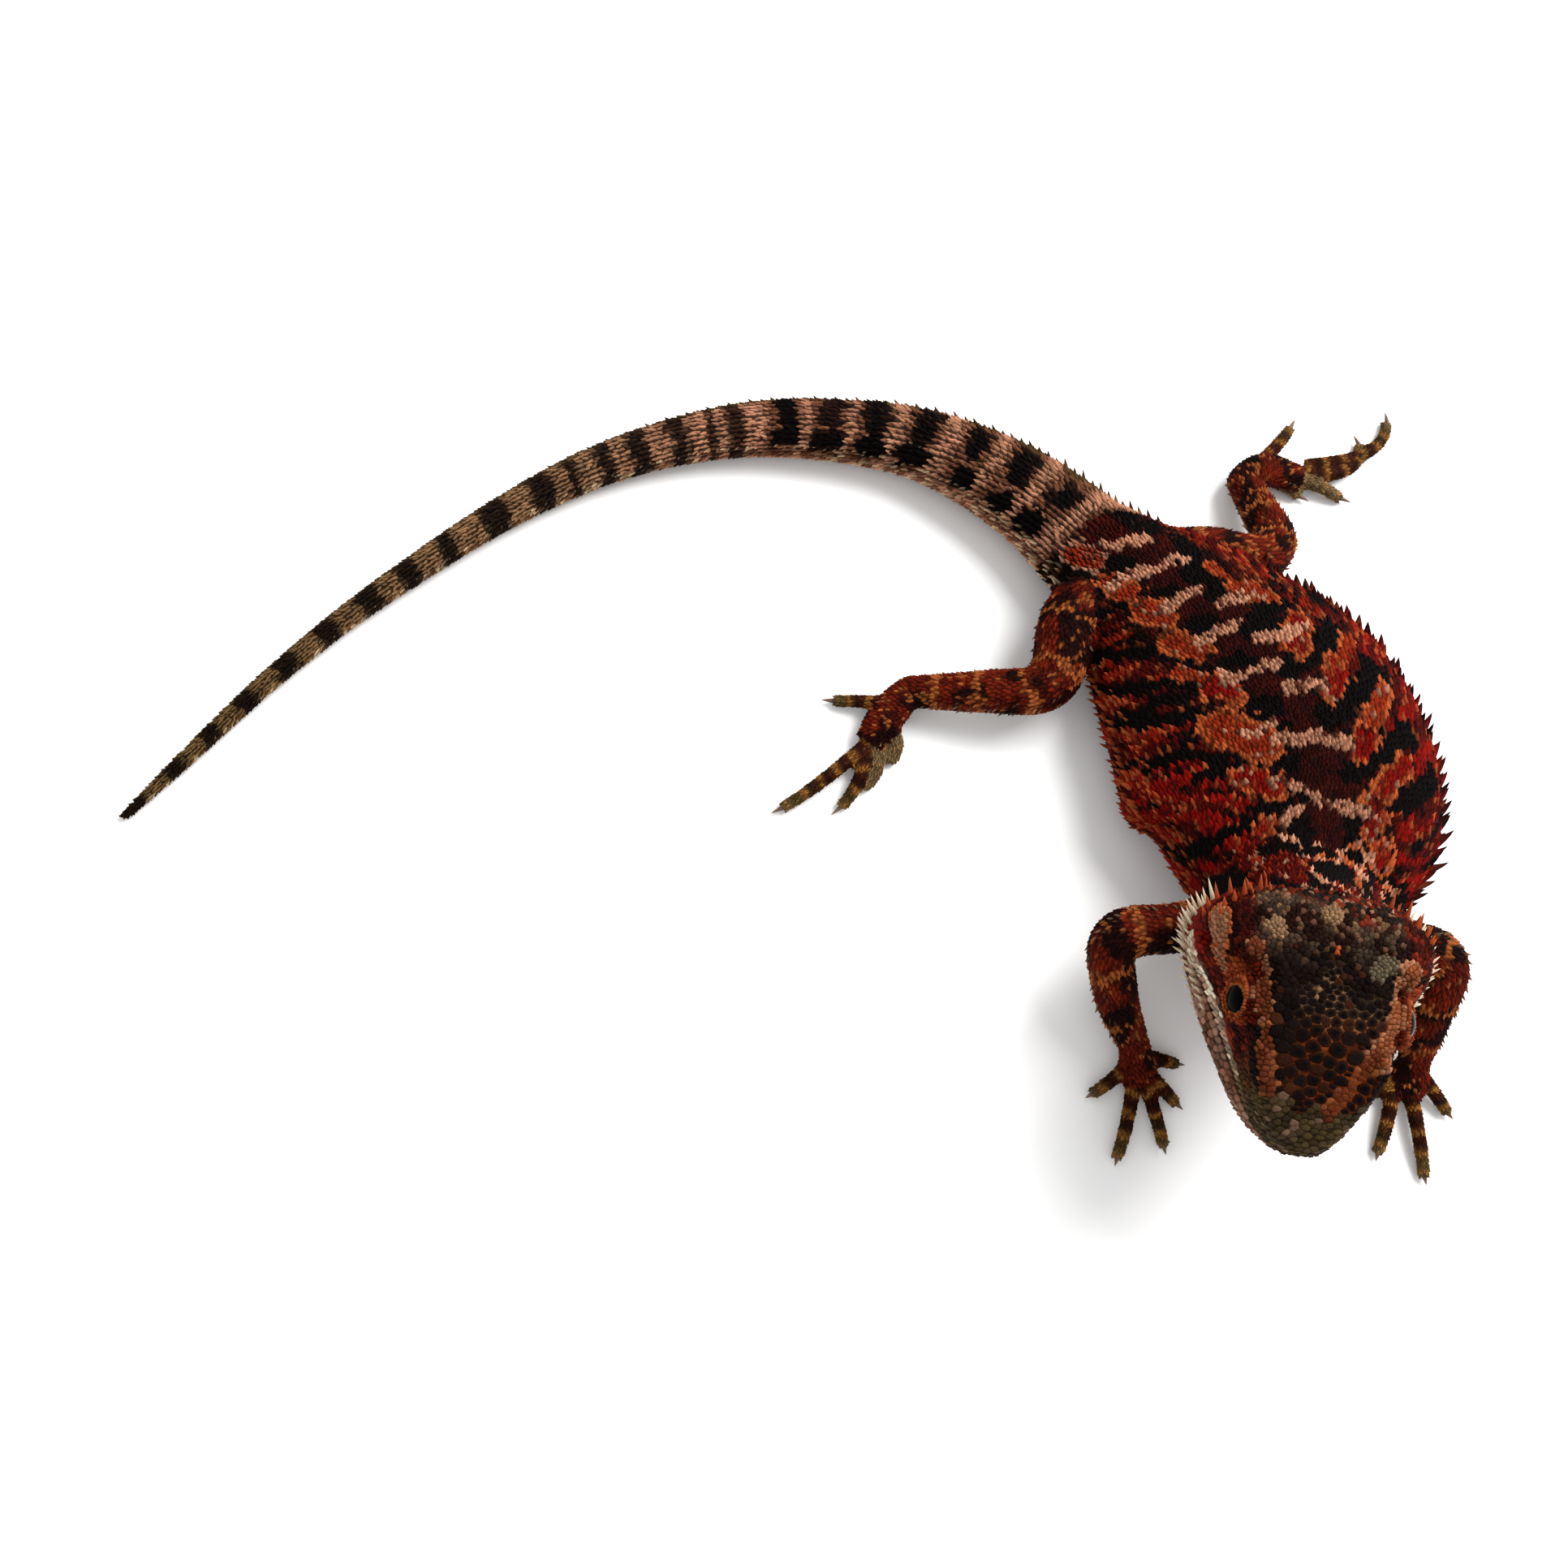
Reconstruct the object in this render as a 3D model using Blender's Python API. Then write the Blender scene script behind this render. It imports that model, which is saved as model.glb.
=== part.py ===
"""A bearded dragon at life size, lying on its belly with its head raised and its tail swept round.

Lengths below are millimetres, and each mesh is brought to metres as it is finished. +Z is up, the
floor is at zero, and the origin is the middle of the flat under the belly. The head faces -Y, so the
animal's right side is towards -X.
"""

import math
import random

import bmesh
import bpy
import numpy as np
from mathutils import Vector
from mathutils.bvhtree import BVHTree

MM = 0.001
GAP = 0.3
UP = np.array((0.0, 0.0, 1.0))
SIDES = (("right", 1), ("left", -1))

# The trunk and tail, from the breast to the tail's tip: x, y, the level of the widest point,
# half the width, the height of the back and the height of the underside.
TRUNK_LINE = (
    (1.0, -53.0, 14.5, 5.0, 18.5, 11.0),
    (1.5, -49.5, 14.5, 10.5, 23.5, 8.0),
    (3.2, -43.5, 14.5, 15.6, 29.5, 5.0),
    (4.9, -34.0, 12.5, 22.3, 31.5, 1.5),
    (6.3, -23.0, 10.5, 29.2, 30.5, -0.4),
    (4.6, -11.0, 10.0, 30.8, 29.5, -0.8),
    (-0.6, 0.0, 10.0, 29.2, 28.5, -0.8),
    (-6.5, 8.8, 10.0, 25.4, 26.5, -0.8),
    (-13.0, 17.6, 9.5, 20.5, 23.5, -0.8),
    (-20.3, 26.2, 8.8, 14.8, 20.0, -0.6),
    (-28.5, 34.5, 8.0, 10.8, 17.0, -0.5),
)
VENT = len(TRUNK_LINE) - 1
TAIL_LINE = (
    (-34.5, 40.8, 7.6, 9.6, 15.6, -0.5),
    (-42.0, 46.8, 7.4, 8.8, 14.6, -0.4),
    (-50.0, 51.7, 7.0, 8.0, 13.6, -0.4),
    (-62.0, 56.7, 6.3, 6.9, 12.4, -0.3),
    (-78.0, 59.2, 5.8, 6.2, 11.3, -0.3),
    (-94.0, 59.3, 5.2, 5.5, 10.2, -0.25),
    (-110.0, 56.4, 4.5, 4.7, 8.9, -0.2),
    (-126.0, 50.7, 3.9, 4.05, 7.8, -0.2),
    (-142.0, 42.0, 3.3, 3.4, 6.6, -0.15),
    (-158.0, 31.0, 2.8, 2.9, 5.6, -0.15),
    (-173.0, 19.4, 2.4, 2.45, 4.8, -0.1),
    (-188.0, 5.7, 2.0, 2.05, 4.0, -0.1),
    (-201.0, -8.0, 1.65, 1.7, 3.3, -0.1),
    (-211.8, -19.2, 1.1, 1.1, 2.1, -0.05),
)
TAIL_PARTS = (("tail_base", VENT, VENT + 4), ("tail_middle", VENT + 4, VENT + 7),
              ("tail_rear", VENT + 7, VENT + 10), ("tail_tip", VENT + 10, VENT + 14))
BACK_SQUARENESS = 2.15
TRUNK_SIDES = 26
TAIL_SIDES = 14
TRUNK_SPACING = 4.0
TAIL_SPACING = 5.0

# The neck: x, y and z of its middle, half its width, and half its depth from nape to throat.
NECK_LINE = (
    (4.0, -32.0, 17.5, 15.0, 11.0),
    (2.5, -39.0, 22.5, 16.5, 12.5),
    (-0.5, -45.0, 30.0, 15.5, 12.5),
    (-4.0, -49.5, 38.5, 14.0, 11.0),
    (-5.5, -51.5, 43.0, 12.0, 9.0),
)

# The head stands at the middle of the crown's rear edge, turned and rolled a little.
CROWN = np.array((-4.9, -44.5, 54.0))
HEAD_TURN = math.radians(10.5)
HEAD_ROLL = math.radians(9)
# Its sections from the nape to the snout: the distance forward, the height of the crown, then half
# the width and the height of the brow, temple, cheek, lip and jaw edge, and the height of the throat.
HEAD_SECTIONS = (
    (-3.5, -6.5, 6.0, -8.0, 9.5, -10.5, 12.0, -14.0, 13.0, -18.0, 12.0, -22.0, -24.0),
    (-1.0, -3.0, 9.0, -4.5, 13.5, -8.0, 16.5, -13.5, 17.5, -19.0, 16.5, -24.0, -26.5),
    (3.0, -0.8, 11.8, -2.2, 16.2, -7.5, 19.3, -13.5, 20.2, -19.0, 19.6, -24.5, -27.5),
    (8.0, 0.0, 13.0, -1.0, 16.2, -7.5, 19.0, -13.5, 19.8, -18.8, 19.8, -24.3, -27.0),
    (13.0, 0.4, 13.4, -0.4, 14.4, -6.0, 17.0, -13.0, 18.2, -18.2, 18.6, -23.4, -26.0),
    (18.0, 0.2, 13.2, -0.5, 13.4, -6.0, 15.3, -12.8, 16.5, -17.6, 16.9, -22.4, -24.8),
    (23.0, -1.0, 11.6, -1.8, 12.0, -7.0, 13.8, -12.6, 14.8, -16.9, 15.0, -21.2, -23.4),
    (28.0, -3.4, 9.2, -4.0, 10.6, -8.3, 12.0, -12.8, 12.7, -16.4, 12.5, -20.2, -22.0),
    (33.0, -6.2, 7.0, -6.8, 8.6, -10.0, 9.8, -13.3, 10.2, -16.1, 9.5, -19.2, -20.6),
    (36.6, -8.8, 4.8, -9.4, 6.0, -11.6, 6.9, -13.9, 7.1, -15.9, 6.2, -18.3, -19.2),
    (38.8, -11.4, 2.4, -11.8, 3.2, -13.0, 3.7, -14.4, 3.8, -15.7, 3.1, -17.2, -17.7),
)
SNOUT_TIP = (39.8, -14.6)
OCCIPUT = (-5.0, -15.5)
HEAD_SIDES = 26
HEAD_RINGS = 21

EYE_RADIUS = 4.4
EYE_CENTRE = (10.6, 16.4, -6.2)
LID_RADIUS = 4.1
LID_THICKNESS = 0.9
LID_OUT = 2.9
LID_LONG = 1.12
LID_HIGH = 0.86
LID_STEPS = 14
LID_SIDES = 6
EAR_CENTRE = (18.6, 6.6, -10.8)
EAR_RADII = (1.7, 1.7, 2.4)
NOSTRIL_CENTRE = (7.0, 34.6, -10.2)
NOSTRIL_RADIUS = 0.9
MOUTH_CORNER = 8.0
MOUTH_DEPTH = 1.1
MOUTH_HEIGHT = 0.45

# Each limb: x, y and z of its middle, half its width and half its thickness, from inside the trunk
# to the wrist or ankle, with the row that the elbow or knee is at.
LIMBS = {
    "upper_arm_right forearm_right": (2, (
        (-8.0, -41.0, 17.0, 6.0, 6.0),
        (-17.0, -43.2, 19.0, 5.2, 5.2),
        (-31.0, -45.5, 18.5, 4.6, 4.4),
        (-29.6, -54.0, 12.5, 4.3, 4.0),
        (-24.4, -63.8, 5.2, 3.2, 2.6),
    )),
    "upper_arm_left forearm_left": (2, (
        (11.0, -41.0, 17.0, 6.2, 6.0),
        (19.0, -45.8, 20.0, 5.4, 5.2),
        (29.6, -50.0, 19.0, 5.0, 4.8),
        (29.6, -58.5, 12.5, 4.6, 4.2),
        (29.6, -67.0, 5.2, 3.4, 2.6),
    )),
    "thigh_right shin_right": (2, (
        (-18.0, 27.0, 10.5, 7.0, 7.0),
        (-32.0, 19.5, 11.0, 6.4, 6.6),
        (-38.5, 4.5, 10.5, 5.0, 5.2),
        (-50.5, 4.0, 8.4, 4.3, 4.2),
        (-64.0, 5.0, 4.6, 3.3, 3.0),
    )),
    "thigh_left shin_left": (3, (
        (-16.0, 29.0, 10.5, 7.0, 7.0),
        (-4.0, 31.6, 11.0, 6.0, 6.4),
        (5.5, 30.6, 10.8, 5.2, 5.4),
        (9.6, 34.4, 9.8, 4.6, 4.8),
        (8.8, 41.5, 7.4, 4.1, 4.0),
        (6.4, 50.0, 4.6, 3.3, 3.0),
    )),
}
LIMB_SIDES = 14
LIMB_SPACING = 3.0

# Each hand and foot: the limb that it ends, x, y, z, half width and half thickness along the palm,
# and its toes: x and y of the knuckle, the heading in degrees from -Y towards +X, the length to
# the claw's root, and how far the toe bends sideways on the way.
FEET = {
    "hand_right": ("forearm_right", ((-23.6, -67.5, 3.0, 3.6, 2.3), (-23.4, -71.0, 2.4, 3.0, 1.8)), (
        (-19.8, -66.0, 76, 4.8, 4),
        (-21.0, -69.0, 42, 7.6, 4),
        (-22.2, -70.0, 16, 12.6, -2),
        (-24.0, -70.0, -14, 14.6, -4),
        (-25.2, -67.3, -50, 8.4, -8),
    )),
    "hand_left": ("forearm_left", ((29.3, -70.5, 3.0, 3.6, 2.3), (29.2, -74.0, 2.4, 3.0, 1.8)), (
        (27.0, -68.6, -88, 4.6, -6),
        (27.2, -71.0, -68, 7.0, 0),
        (26.0, -73.0, -17, 11.8, -2),
        (29.6, -74.0, 5, 14.8, 2),
        (32.4, -70.6, 34, 8.0, 4),
    )),
    "foot_right": ("shin_right", ((-68.4, 0.6, 4.0, 3.9, 2.8), (-72.2, -4.6, 2.8, 3.0, 2.1)), (
        (-66.8, -4.0, 15, 4.6, -60),
        (-70.4, -7.0, 0, 7.4, -56),
        (-72.6, -8.0, -20, 10.6, -22),
        (-73.8, -6.2, -50, 19.0, -10),
        (-69.5, 3.2, -95, 9.2, 0),
    )),
    "foot_left": ("shin_left", ((10.8, 52.8, 4.0, 3.9, 2.8), (19.6, 52.0, 2.8, 3.0, 2.1)), (
        (16.5, 50.4, 62, 3.6, 0),
        (22.0, 51.0, 68, 7.2, 0),
        (23.0, 52.6, 94, 15.0, 78),
        (23.4, 55.2, 97, 21.6, 62),
        (11.8, 55.4, 134, 11.4, 10),
    )),
}
PALM_RINGS = 6
TOE_RADIUS = 1.65
TOE_END_RADIUS = 1.3
TOE_SIDES = 6
TOE_RINGS = 7
TOE_LEVEL = 2.0
TOE_END_LEVEL = 1.1
TOE_ARCH = 0.8
HAND_CLAW_LENGTH = 1.7
FOOT_CLAW_LENGTH = 2.8
CLAW_RADIUS = 0.62
CLAW_SIDES = 4
CLAW_RINGS = 4

# Rows of spines along the trunk and tail: the node, the stations from and to, the degrees above the
# widest level, the distance between spines, then their length at the first and last and their width.
TRUNK_SPINES = (
    ("torso", 2.6, 9.4, 6, 2.7, 3.0, 1.6, 1.4),
    ("torso", 2.8, 9.2, -16, 3.0, 2.2, 1.3, 1.3),
    ("torso", 3.0, 9.4, 48, 8.5, 1.2, 1.2, 1.6),
    ("torso", 3.3, 9.7, 72, 8.5, 1.0, 1.1, 1.5),
    ("tail_base", 10.1, 13.9, 22, 3.6, 1.8, 1.2, 1.2),
    ("tail_base", 10.2, 13.9, 58, 4.6, 1.1, 0.9, 1.1),
    ("tail_middle", 14.1, 16.9, 24, 4.2, 1.0, 0.8, 1.0),
    ("tail_rear", 17.1, 19.9, 26, 5.0, 0.8, 0.7, 0.9),
)
# Rows of spines on the head: the distance forward from and to, the height at each, how many, their
# length at the first and last, their width, and how far back and up they lean.
HEAD_SPINES = (
    (-1.5, 17.0, -18.5, -19.5, 9, 3.4, 1.2, 1.3, 0.6, 0.0),
    (0.0, 24.0, -23.0, -21.5, 9, 2.8, 0.9, 1.2, 0.5, -0.3),
    (0.5, 18.0, -25.5, -24.0, 6, 2.2, 1.2, 1.2, 0.4, -0.7),
    (-2.0, 1.5, -13.5, -13.0, 2, 3.0, 2.6, 1.3, 0.9, 0.2),
    (-2.2, 2.0, -8.5, -8.0, 3, 2.8, 2.2, 1.3, 0.9, 0.5),
)
NAPE_SPINES = 5
NECK_SPINES = ((0.38, 0, 4), (0.62, 28, 3))
LIMB_SPINES = (("upper_arm", 4, 3.6, 1.0), ("forearm", 4, 4.2, 1.0), ("thigh", 5, 4.2, 1.2),
               ("shin", 5, 4.6, 1.0))
SPINE_SIDES = 4
SPINE_SUNK = 0.9
SPINE_CLEARANCE = 1.3
LENGTH_SPREAD = 0.15

COLOURS = {
    "trunk": (0.30, 0.05, 0.02),
    "head": (0.12, 0.05, 0.03),
    "limb": (0.22, 0.05, 0.02),
    "tail": (0.30, 0.18, 0.14),
    "eye": (0.45, 0.10, 0.02),
}


def smooth_rows(rows, at):
    """The rows' values on a smooth curve through them, at distances along the chords."""
    rows = np.array(rows, float)
    marks = chord_marks(rows)
    slopes = np.gradient(rows, marks, axis=0)
    k = np.clip(np.searchsorted(marks, at, side="right") - 1, 0, len(marks) - 2)
    span = (marks[k + 1] - marks[k])[:, None]
    u = ((at - marks[k])[:, None]) / span
    start, end = rows[k], rows[k + 1]
    rise = slopes[k] * span
    fall = slopes[k + 1] * span
    return (start * (2 * u**3 - 3 * u**2 + 1) + rise * (u**3 - 2 * u**2 + u)
            + end * (3 * u**2 - 2 * u**3) + fall * (u**3 - u**2))


def chord_marks(rows, columns=3):
    steps = np.linalg.norm(np.diff(np.array(rows, float)[:, :columns], axis=0), axis=1)
    return np.concatenate([[0.0], np.cumsum(steps)])


def unit(vectors):
    return vectors / np.linalg.norm(vectors, axis=-1, keepdims=True)


def ring(centre, side, up, half_width, rise, drop, count, squareness=2.0):
    """A closed section whose upper and lower halves have their own heights."""
    angles = np.arange(count) * 2 * np.pi / count
    across, above = np.cos(angles), np.sin(angles)
    across = np.sign(across) * np.abs(across) ** (2 / squareness)
    above = np.sign(above) * np.abs(above) ** (2 / squareness)
    height = np.where(above > 0, rise, drop) * above
    return centre + np.outer(half_width * across, side) + np.outer(height, up)


def loft(name, rings, collection, start=None, end=None):
    """A closed skin over rings of like count, fanned shut at both ends and kept above the floor."""
    bm = bmesh.new()
    rows = []
    for points in rings:
        rows.append([bm.verts.new(on_floor(p)) for p in points])
    for lower, upper in zip(rows, rows[1:]):
        for i, vertex in enumerate(lower):
            j = (i + 1) % len(lower)
            bm.faces.new((vertex, lower[j], upper[j], upper[i]))
    for row, tip in ((rows[0], start), (rows[-1], end)):
        centre = np.mean([v.co for v in row], axis=0) if tip is None else tip
        hub = bm.verts.new(on_floor(centre))
        for i, vertex in enumerate(row):
            bm.faces.new((vertex, row[(i + 1) % len(row)], hub))
    return finished(name, bm, collection)


def on_floor(point):
    return Vector((point[0], point[1], max(point[2], 0.0)))


def finished(name, bm, collection):
    """The mesh made an object with its faces outwards, brought from millimetres to metres."""
    bm.normal_update()
    bmesh.ops.recalc_face_normals(bm, faces=bm.faces[:])
    bmesh.ops.scale(bm, vec=(MM, MM, MM), verts=bm.verts[:])
    mesh = bpy.data.meshes.new(name)
    bm.to_mesh(mesh)
    bm.free()
    piece = bpy.data.objects.new(name, mesh)
    collection.objects.link(piece)
    return piece


def trunk_rows(first, last, spacing, trim):
    """Rows of the trunk and tail between two stations, short of the first by the trim."""
    line = TRUNK_LINE + TAIL_LINE
    marks = chord_marks(line)
    start, end = marks[first] + trim, marks[last]
    count = max(3, round((end - start) / spacing) + 1)
    at = np.linspace(start, end, count)
    rows = smooth_rows(line, at)
    ahead = smooth_rows(line, np.minimum(at + 0.5, marks[-1]))[:, :2]
    behind = smooth_rows(line, np.maximum(at - 0.5, 0.0))[:, :2]
    tangents = np.column_stack([unit(ahead - behind), np.zeros(count)])
    return rows, tangents


def trunk_rings(first, last, spacing, sides, trim=0.0):
    rows, tangents = trunk_rows(first, last, spacing, trim)
    rings = []
    for row, tangent in zip(rows, tangents):
        x, y, level, half_width, top, bottom = row
        side = np.cross(tangent, UP)
        rings.append(ring(np.array((x, y, level)), side, UP, half_width, top - level,
                          level - bottom, sides, BACK_SQUARENESS))
    return rings


def tube_rings(rows, at, sides):
    """Sections square to a bent line; rows hold x, y, z, half width and half thickness."""
    marks = chord_marks(rows)
    values = smooth_rows(rows, at)
    ahead = smooth_rows(rows, np.minimum(at + 0.4, marks[-1]))[:, :3]
    behind = smooth_rows(rows, np.maximum(at - 0.4, 0.0))[:, :3]
    tangents = unit(ahead - behind)
    side = unit(np.cross(tangents, UP))
    up = np.cross(side, tangents)
    return [ring(v[:3], s, u, v[3], v[4], v[4], sides) for v, s, u in zip(values, side, up)]


def head_point(across, forward, height):
    """A place on the head: across to its right, forward of the crown's rear edge, and up."""
    right = np.array((-math.cos(HEAD_TURN), math.sin(HEAD_TURN), 0.0))
    ahead = np.array((-math.sin(HEAD_TURN), -math.cos(HEAD_TURN), 0.0))
    rolled_right = math.cos(HEAD_ROLL) * right - math.sin(HEAD_ROLL) * UP
    rolled_up = math.sin(HEAD_ROLL) * right + math.cos(HEAD_ROLL) * UP
    return CROWN + across * rolled_right + forward * ahead + height * rolled_up


def head_row(forward):
    sections = np.array(HEAD_SECTIONS)
    row = [forward]
    for column in range(1, sections.shape[1]):
        pair = np.column_stack([sections[:, 0], sections[:, column]])
        marks = sections[:, 0] - sections[0, 0]
        slope = np.gradient(pair[:, 1], marks)
        k = int(np.clip(np.searchsorted(marks, forward - sections[0, 0], side="right") - 1,
                        0, len(marks) - 2))
        span = marks[k + 1] - marks[k]
        u = (forward - sections[k, 0]) / span
        row.append(pair[k, 1] * (2 * u**3 - 3 * u**2 + 1) + slope[k] * span * (u**3 - 2 * u**2 + u)
                   + pair[k + 1, 1] * (3 * u**2 - 2 * u**3) + slope[k + 1] * span * (u**3 - u**2))
    return row


def head_ring(forward, sides):
    """One section of the head, smooth through its named points on both sides."""
    f, crown, brow_w, brow, temple_w, temple, cheek_w, cheek, lip_w, lip, jaw_w, jaw, throat = \
        head_row(forward)
    half = ((0.0, crown), (brow_w * 0.55, crown * 0.8 + brow * 0.2), (brow_w, brow),
            (temple_w, temple), (cheek_w, cheek), (lip_w, lip), (jaw_w, jaw),
            (jaw_w * 0.55, jaw * 0.25 + throat * 0.75), (0.0, throat))
    loop = half + tuple((-w, u) for w, u in half[-2:0:-1])
    closed = np.array(loop[-2:] + loop + loop[:3])
    flat = np.column_stack([closed, np.zeros(len(closed))])
    marks = chord_marks(flat)
    at = np.linspace(marks[2], marks[2 + len(loop)], sides, endpoint=False)
    outline = smooth_rows(flat, at)
    return np.array([head_point(w, f, u) for w, u, _ in outline])


def head_form(collection, name="head"):
    first, last = HEAD_SECTIONS[0][0], HEAD_SECTIONS[-1][0]
    steps = np.linspace(0.0, 1.0, HEAD_RINGS)
    # Rings crowd a little towards both ends, where the head closes.
    stations = first + (last - first) * (0.5 - 0.5 * np.cos(np.pi * steps)) * 0.4 \
        + (last - first) * steps * 0.6
    rings = [head_ring(f, HEAD_SIDES) for f in stations]
    return loft(name, rings, collection, start=head_point(0.0, *OCCIPUT),
                end=head_point(0.0, *SNOUT_TIP))


def head_ball(name, centre, radii, side, collection, segments=16):
    """A ball on one side of the head, longest along its own axes."""
    bm = bmesh.new()
    bmesh.ops.create_uvsphere(bm, u_segments=segments, v_segments=segments * 5 // 8, radius=1.0)
    across, forward, height = centre
    for vertex in bm.verts:
        x, y, z = vertex.co
        vertex.co = head_point(side * (across + x * radii[0]), forward + y * radii[1],
                               height + z * radii[2])
    return finished(name, bm, collection)


def lid_ring(name, side, collection):
    """The rounded rim of the lids, a flattened ring around the eye."""
    bm = bmesh.new()
    rows = []
    for i in range(LID_STEPS):
        turn = 2 * math.pi * i / LID_STEPS
        row = []
        for j in range(LID_SIDES):
            roll = 2 * math.pi * j / LID_SIDES
            reach = LID_RADIUS + LID_THICKNESS * math.cos(roll)
            out = EYE_CENTRE[0] + LID_OUT + LID_THICKNESS * math.sin(roll)
            row.append(bm.verts.new(head_point(
                side * out, EYE_CENTRE[1] + reach * math.cos(turn) * LID_LONG,
                EYE_CENTRE[2] + reach * math.sin(turn) * LID_HIGH)))
        rows.append(row)
    for i, row in enumerate(rows):
        following = rows[(i + 1) % LID_STEPS]
        for j, vertex in enumerate(row):
            k = (j + 1) % len(row)
            bm.faces.new((vertex, row[k], following[k], following[j]))
    return finished(name, bm, collection)


def mouth_groove(collection):
    """A thin band along the line of the mouth, from one corner round the snout to the other."""
    stations = np.concatenate([np.linspace(MOUTH_CORNER, 35.5, 12), (37.3, 38.8)])
    lips = [(row[8], row[0], row[9]) for row in (head_row(f) for f in stations)]
    tip = (0.0, SNOUT_TIP[0], lips[-1][2])
    path = np.array(lips + [tip] + [(-w, f, u) for w, f, u in reversed(lips)])
    tangents = unit(np.gradient(path, axis=0))
    outward = unit(np.column_stack([tangents[:, 1], -tangents[:, 0], np.zeros(len(path))]))
    if outward[0, 0] < 0:
        outward = -outward
    rings = []
    for place, out in zip(path, outward):
        corners = ((-MOUTH_DEPTH, -1), (1.6, -1), (1.6, 1), (-MOUTH_DEPTH, 1))
        rings.append([head_point(*(place + out * reach + UP * level * MOUTH_HEIGHT / 2))
                      for reach, level in corners])
    return loft("cut_mouth", rings, collection)


def limb_nodes(names, bend, rows, parts, cutters):
    """The two lengths of a limb, parted at the elbow or knee."""
    marks = chord_marks(rows)
    lengths = []
    for name, start, end in zip(names.split(), (0.0, marks[bend]), (marks[bend], marks[-1])):
        at = np.linspace(start, end, max(4, round((end - start) / LIMB_SPACING) + 1))
        lengths.append(loft(name, tube_rings(rows, at, LIMB_SIDES), parts))
    upper, lower = lengths
    boolean(lower, "DIFFERENCE", other=grown_copy(upper, cutters))
    return upper


def toe_path(x, y, heading, length, bend):
    """The middle of a toe, from just inside the palm to the claw's root."""
    joints = 7
    turn = math.radians(heading)
    step = (length + 2.0) / (joints - 1)
    place = np.array((x - 2.0 * math.sin(turn), y + 2.0 * math.cos(turn)))
    rows = []
    for i in range(joints):
        share = i / (joints - 1)
        level = TOE_LEVEL + (TOE_END_LEVEL - TOE_LEVEL) * share**1.5 + TOE_ARCH * math.sin(math.pi * share)
        radius = TOE_RADIUS + (TOE_END_RADIUS - TOE_RADIUS) * share
        rows.append((place[0], place[1], level, radius, radius * 0.92))
        turn_here = turn + math.radians(bend) * share**2 * 1.4
        place = place + step * np.array((math.sin(turn_here), -math.cos(turn_here)))
    return rows, turn + math.radians(bend) * 1.4


def claw_rows(root, turn, length):
    """A hooked claw from the toe's end down to the floor."""
    ahead = np.array((math.sin(turn), -math.cos(turn), 0.0))
    rows = []
    for share, drop, radius in ((-0.25, 0.15, 0.9), (0.2, 0.35, 1.0), (0.6, 0.1, 0.7), (1.0, -0.75, 0.18)):
        place = np.array(root[:3]) + ahead * length * share + UP * drop
        rows.append((*place, CLAW_RADIUS * radius, CLAW_RADIUS * radius))
    return rows


def foot_node(name, limb, limb_rows, palm, toes, parts, pieces, cutters):
    """A palm or sole with its five toes and their claws, fused to one solid."""
    wrist = limb_rows[-1]
    before = limb_rows[-2]
    rows = (before, wrist) + palm
    marks = chord_marks(rows)
    at = np.linspace(marks[1], marks[-1], PALM_RINGS)
    foot = loft(name, tube_rings(rows, at, LIMB_SIDES), parts)
    for toe in toes:
        path, turn = toe_path(*toe)
        reach = chord_marks(path)[-1]
        loft("toe", tube_rings(path, np.linspace(0, reach, TOE_RINGS), TOE_SIDES), pieces)
        length = HAND_CLAW_LENGTH if name.startswith("hand") else FOOT_CLAW_LENGTH
        claw = claw_rows(path[-1], turn, length)
        reach = chord_marks(claw)[-1]
        loft("claw", tube_rings(claw, np.linspace(0, reach, CLAW_RINGS), CLAW_SIDES), pieces)
    fuse(foot, pieces)
    boolean(foot, "DIFFERENCE", other=grown_copy(bpy.data.objects[limb], cutters))


def boolean(piece, operation, collection=None, other=None):
    modifier = piece.modifiers.new(operation.lower(), "BOOLEAN")
    modifier.operation = operation
    modifier.solver = "EXACT"
    if collection:
        modifier.operand_type = "COLLECTION"
        modifier.collection = collection
    else:
        modifier.object = other
    bpy.context.view_layer.update()
    evaluated = piece.evaluated_get(bpy.context.evaluated_depsgraph_get())
    mesh = bpy.data.meshes.new_from_object(evaluated)
    piece.modifiers.remove(modifier)
    piece.data = mesh
    keep_largest(piece)


def fuse(piece, collection):
    """Joins everything in the collection to the piece, and empties the collection."""
    if not collection.objects:
        return
    boolean(piece, "UNION", collection=collection)
    clear(collection)


def clear(collection):
    for used in list(collection.objects):
        bpy.data.objects.remove(used)


def keep_largest(piece):
    """Leaves only the closed surface with the largest volume."""
    bm = bmesh.new()
    bm.from_mesh(piece.data)
    left = set(bm.verts)
    shells = []
    while left:
        shell, front = set(), [left.pop()]
        while front:
            vertex = front.pop()
            shell.add(vertex)
            for edge in vertex.link_edges:
                other = edge.other_vert(vertex)
                if other in left:
                    left.discard(other)
                    front.append(other)
        shells.append(shell)
    shells.sort(key=shell_volume)
    for shell in shells[:-1]:
        bmesh.ops.delete(bm, geom=list(shell), context="VERTS")
    bm.to_mesh(piece.data)
    bm.free()


def shell_volume(shell):
    total = 0.0
    for face in {face for vertex in shell for face in vertex.link_faces}:
        first = face.verts[0].co
        for a, b in zip(face.verts[1:], face.verts[2:]):
            total += first.dot(a.co.cross(b.co))
    return total


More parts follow.
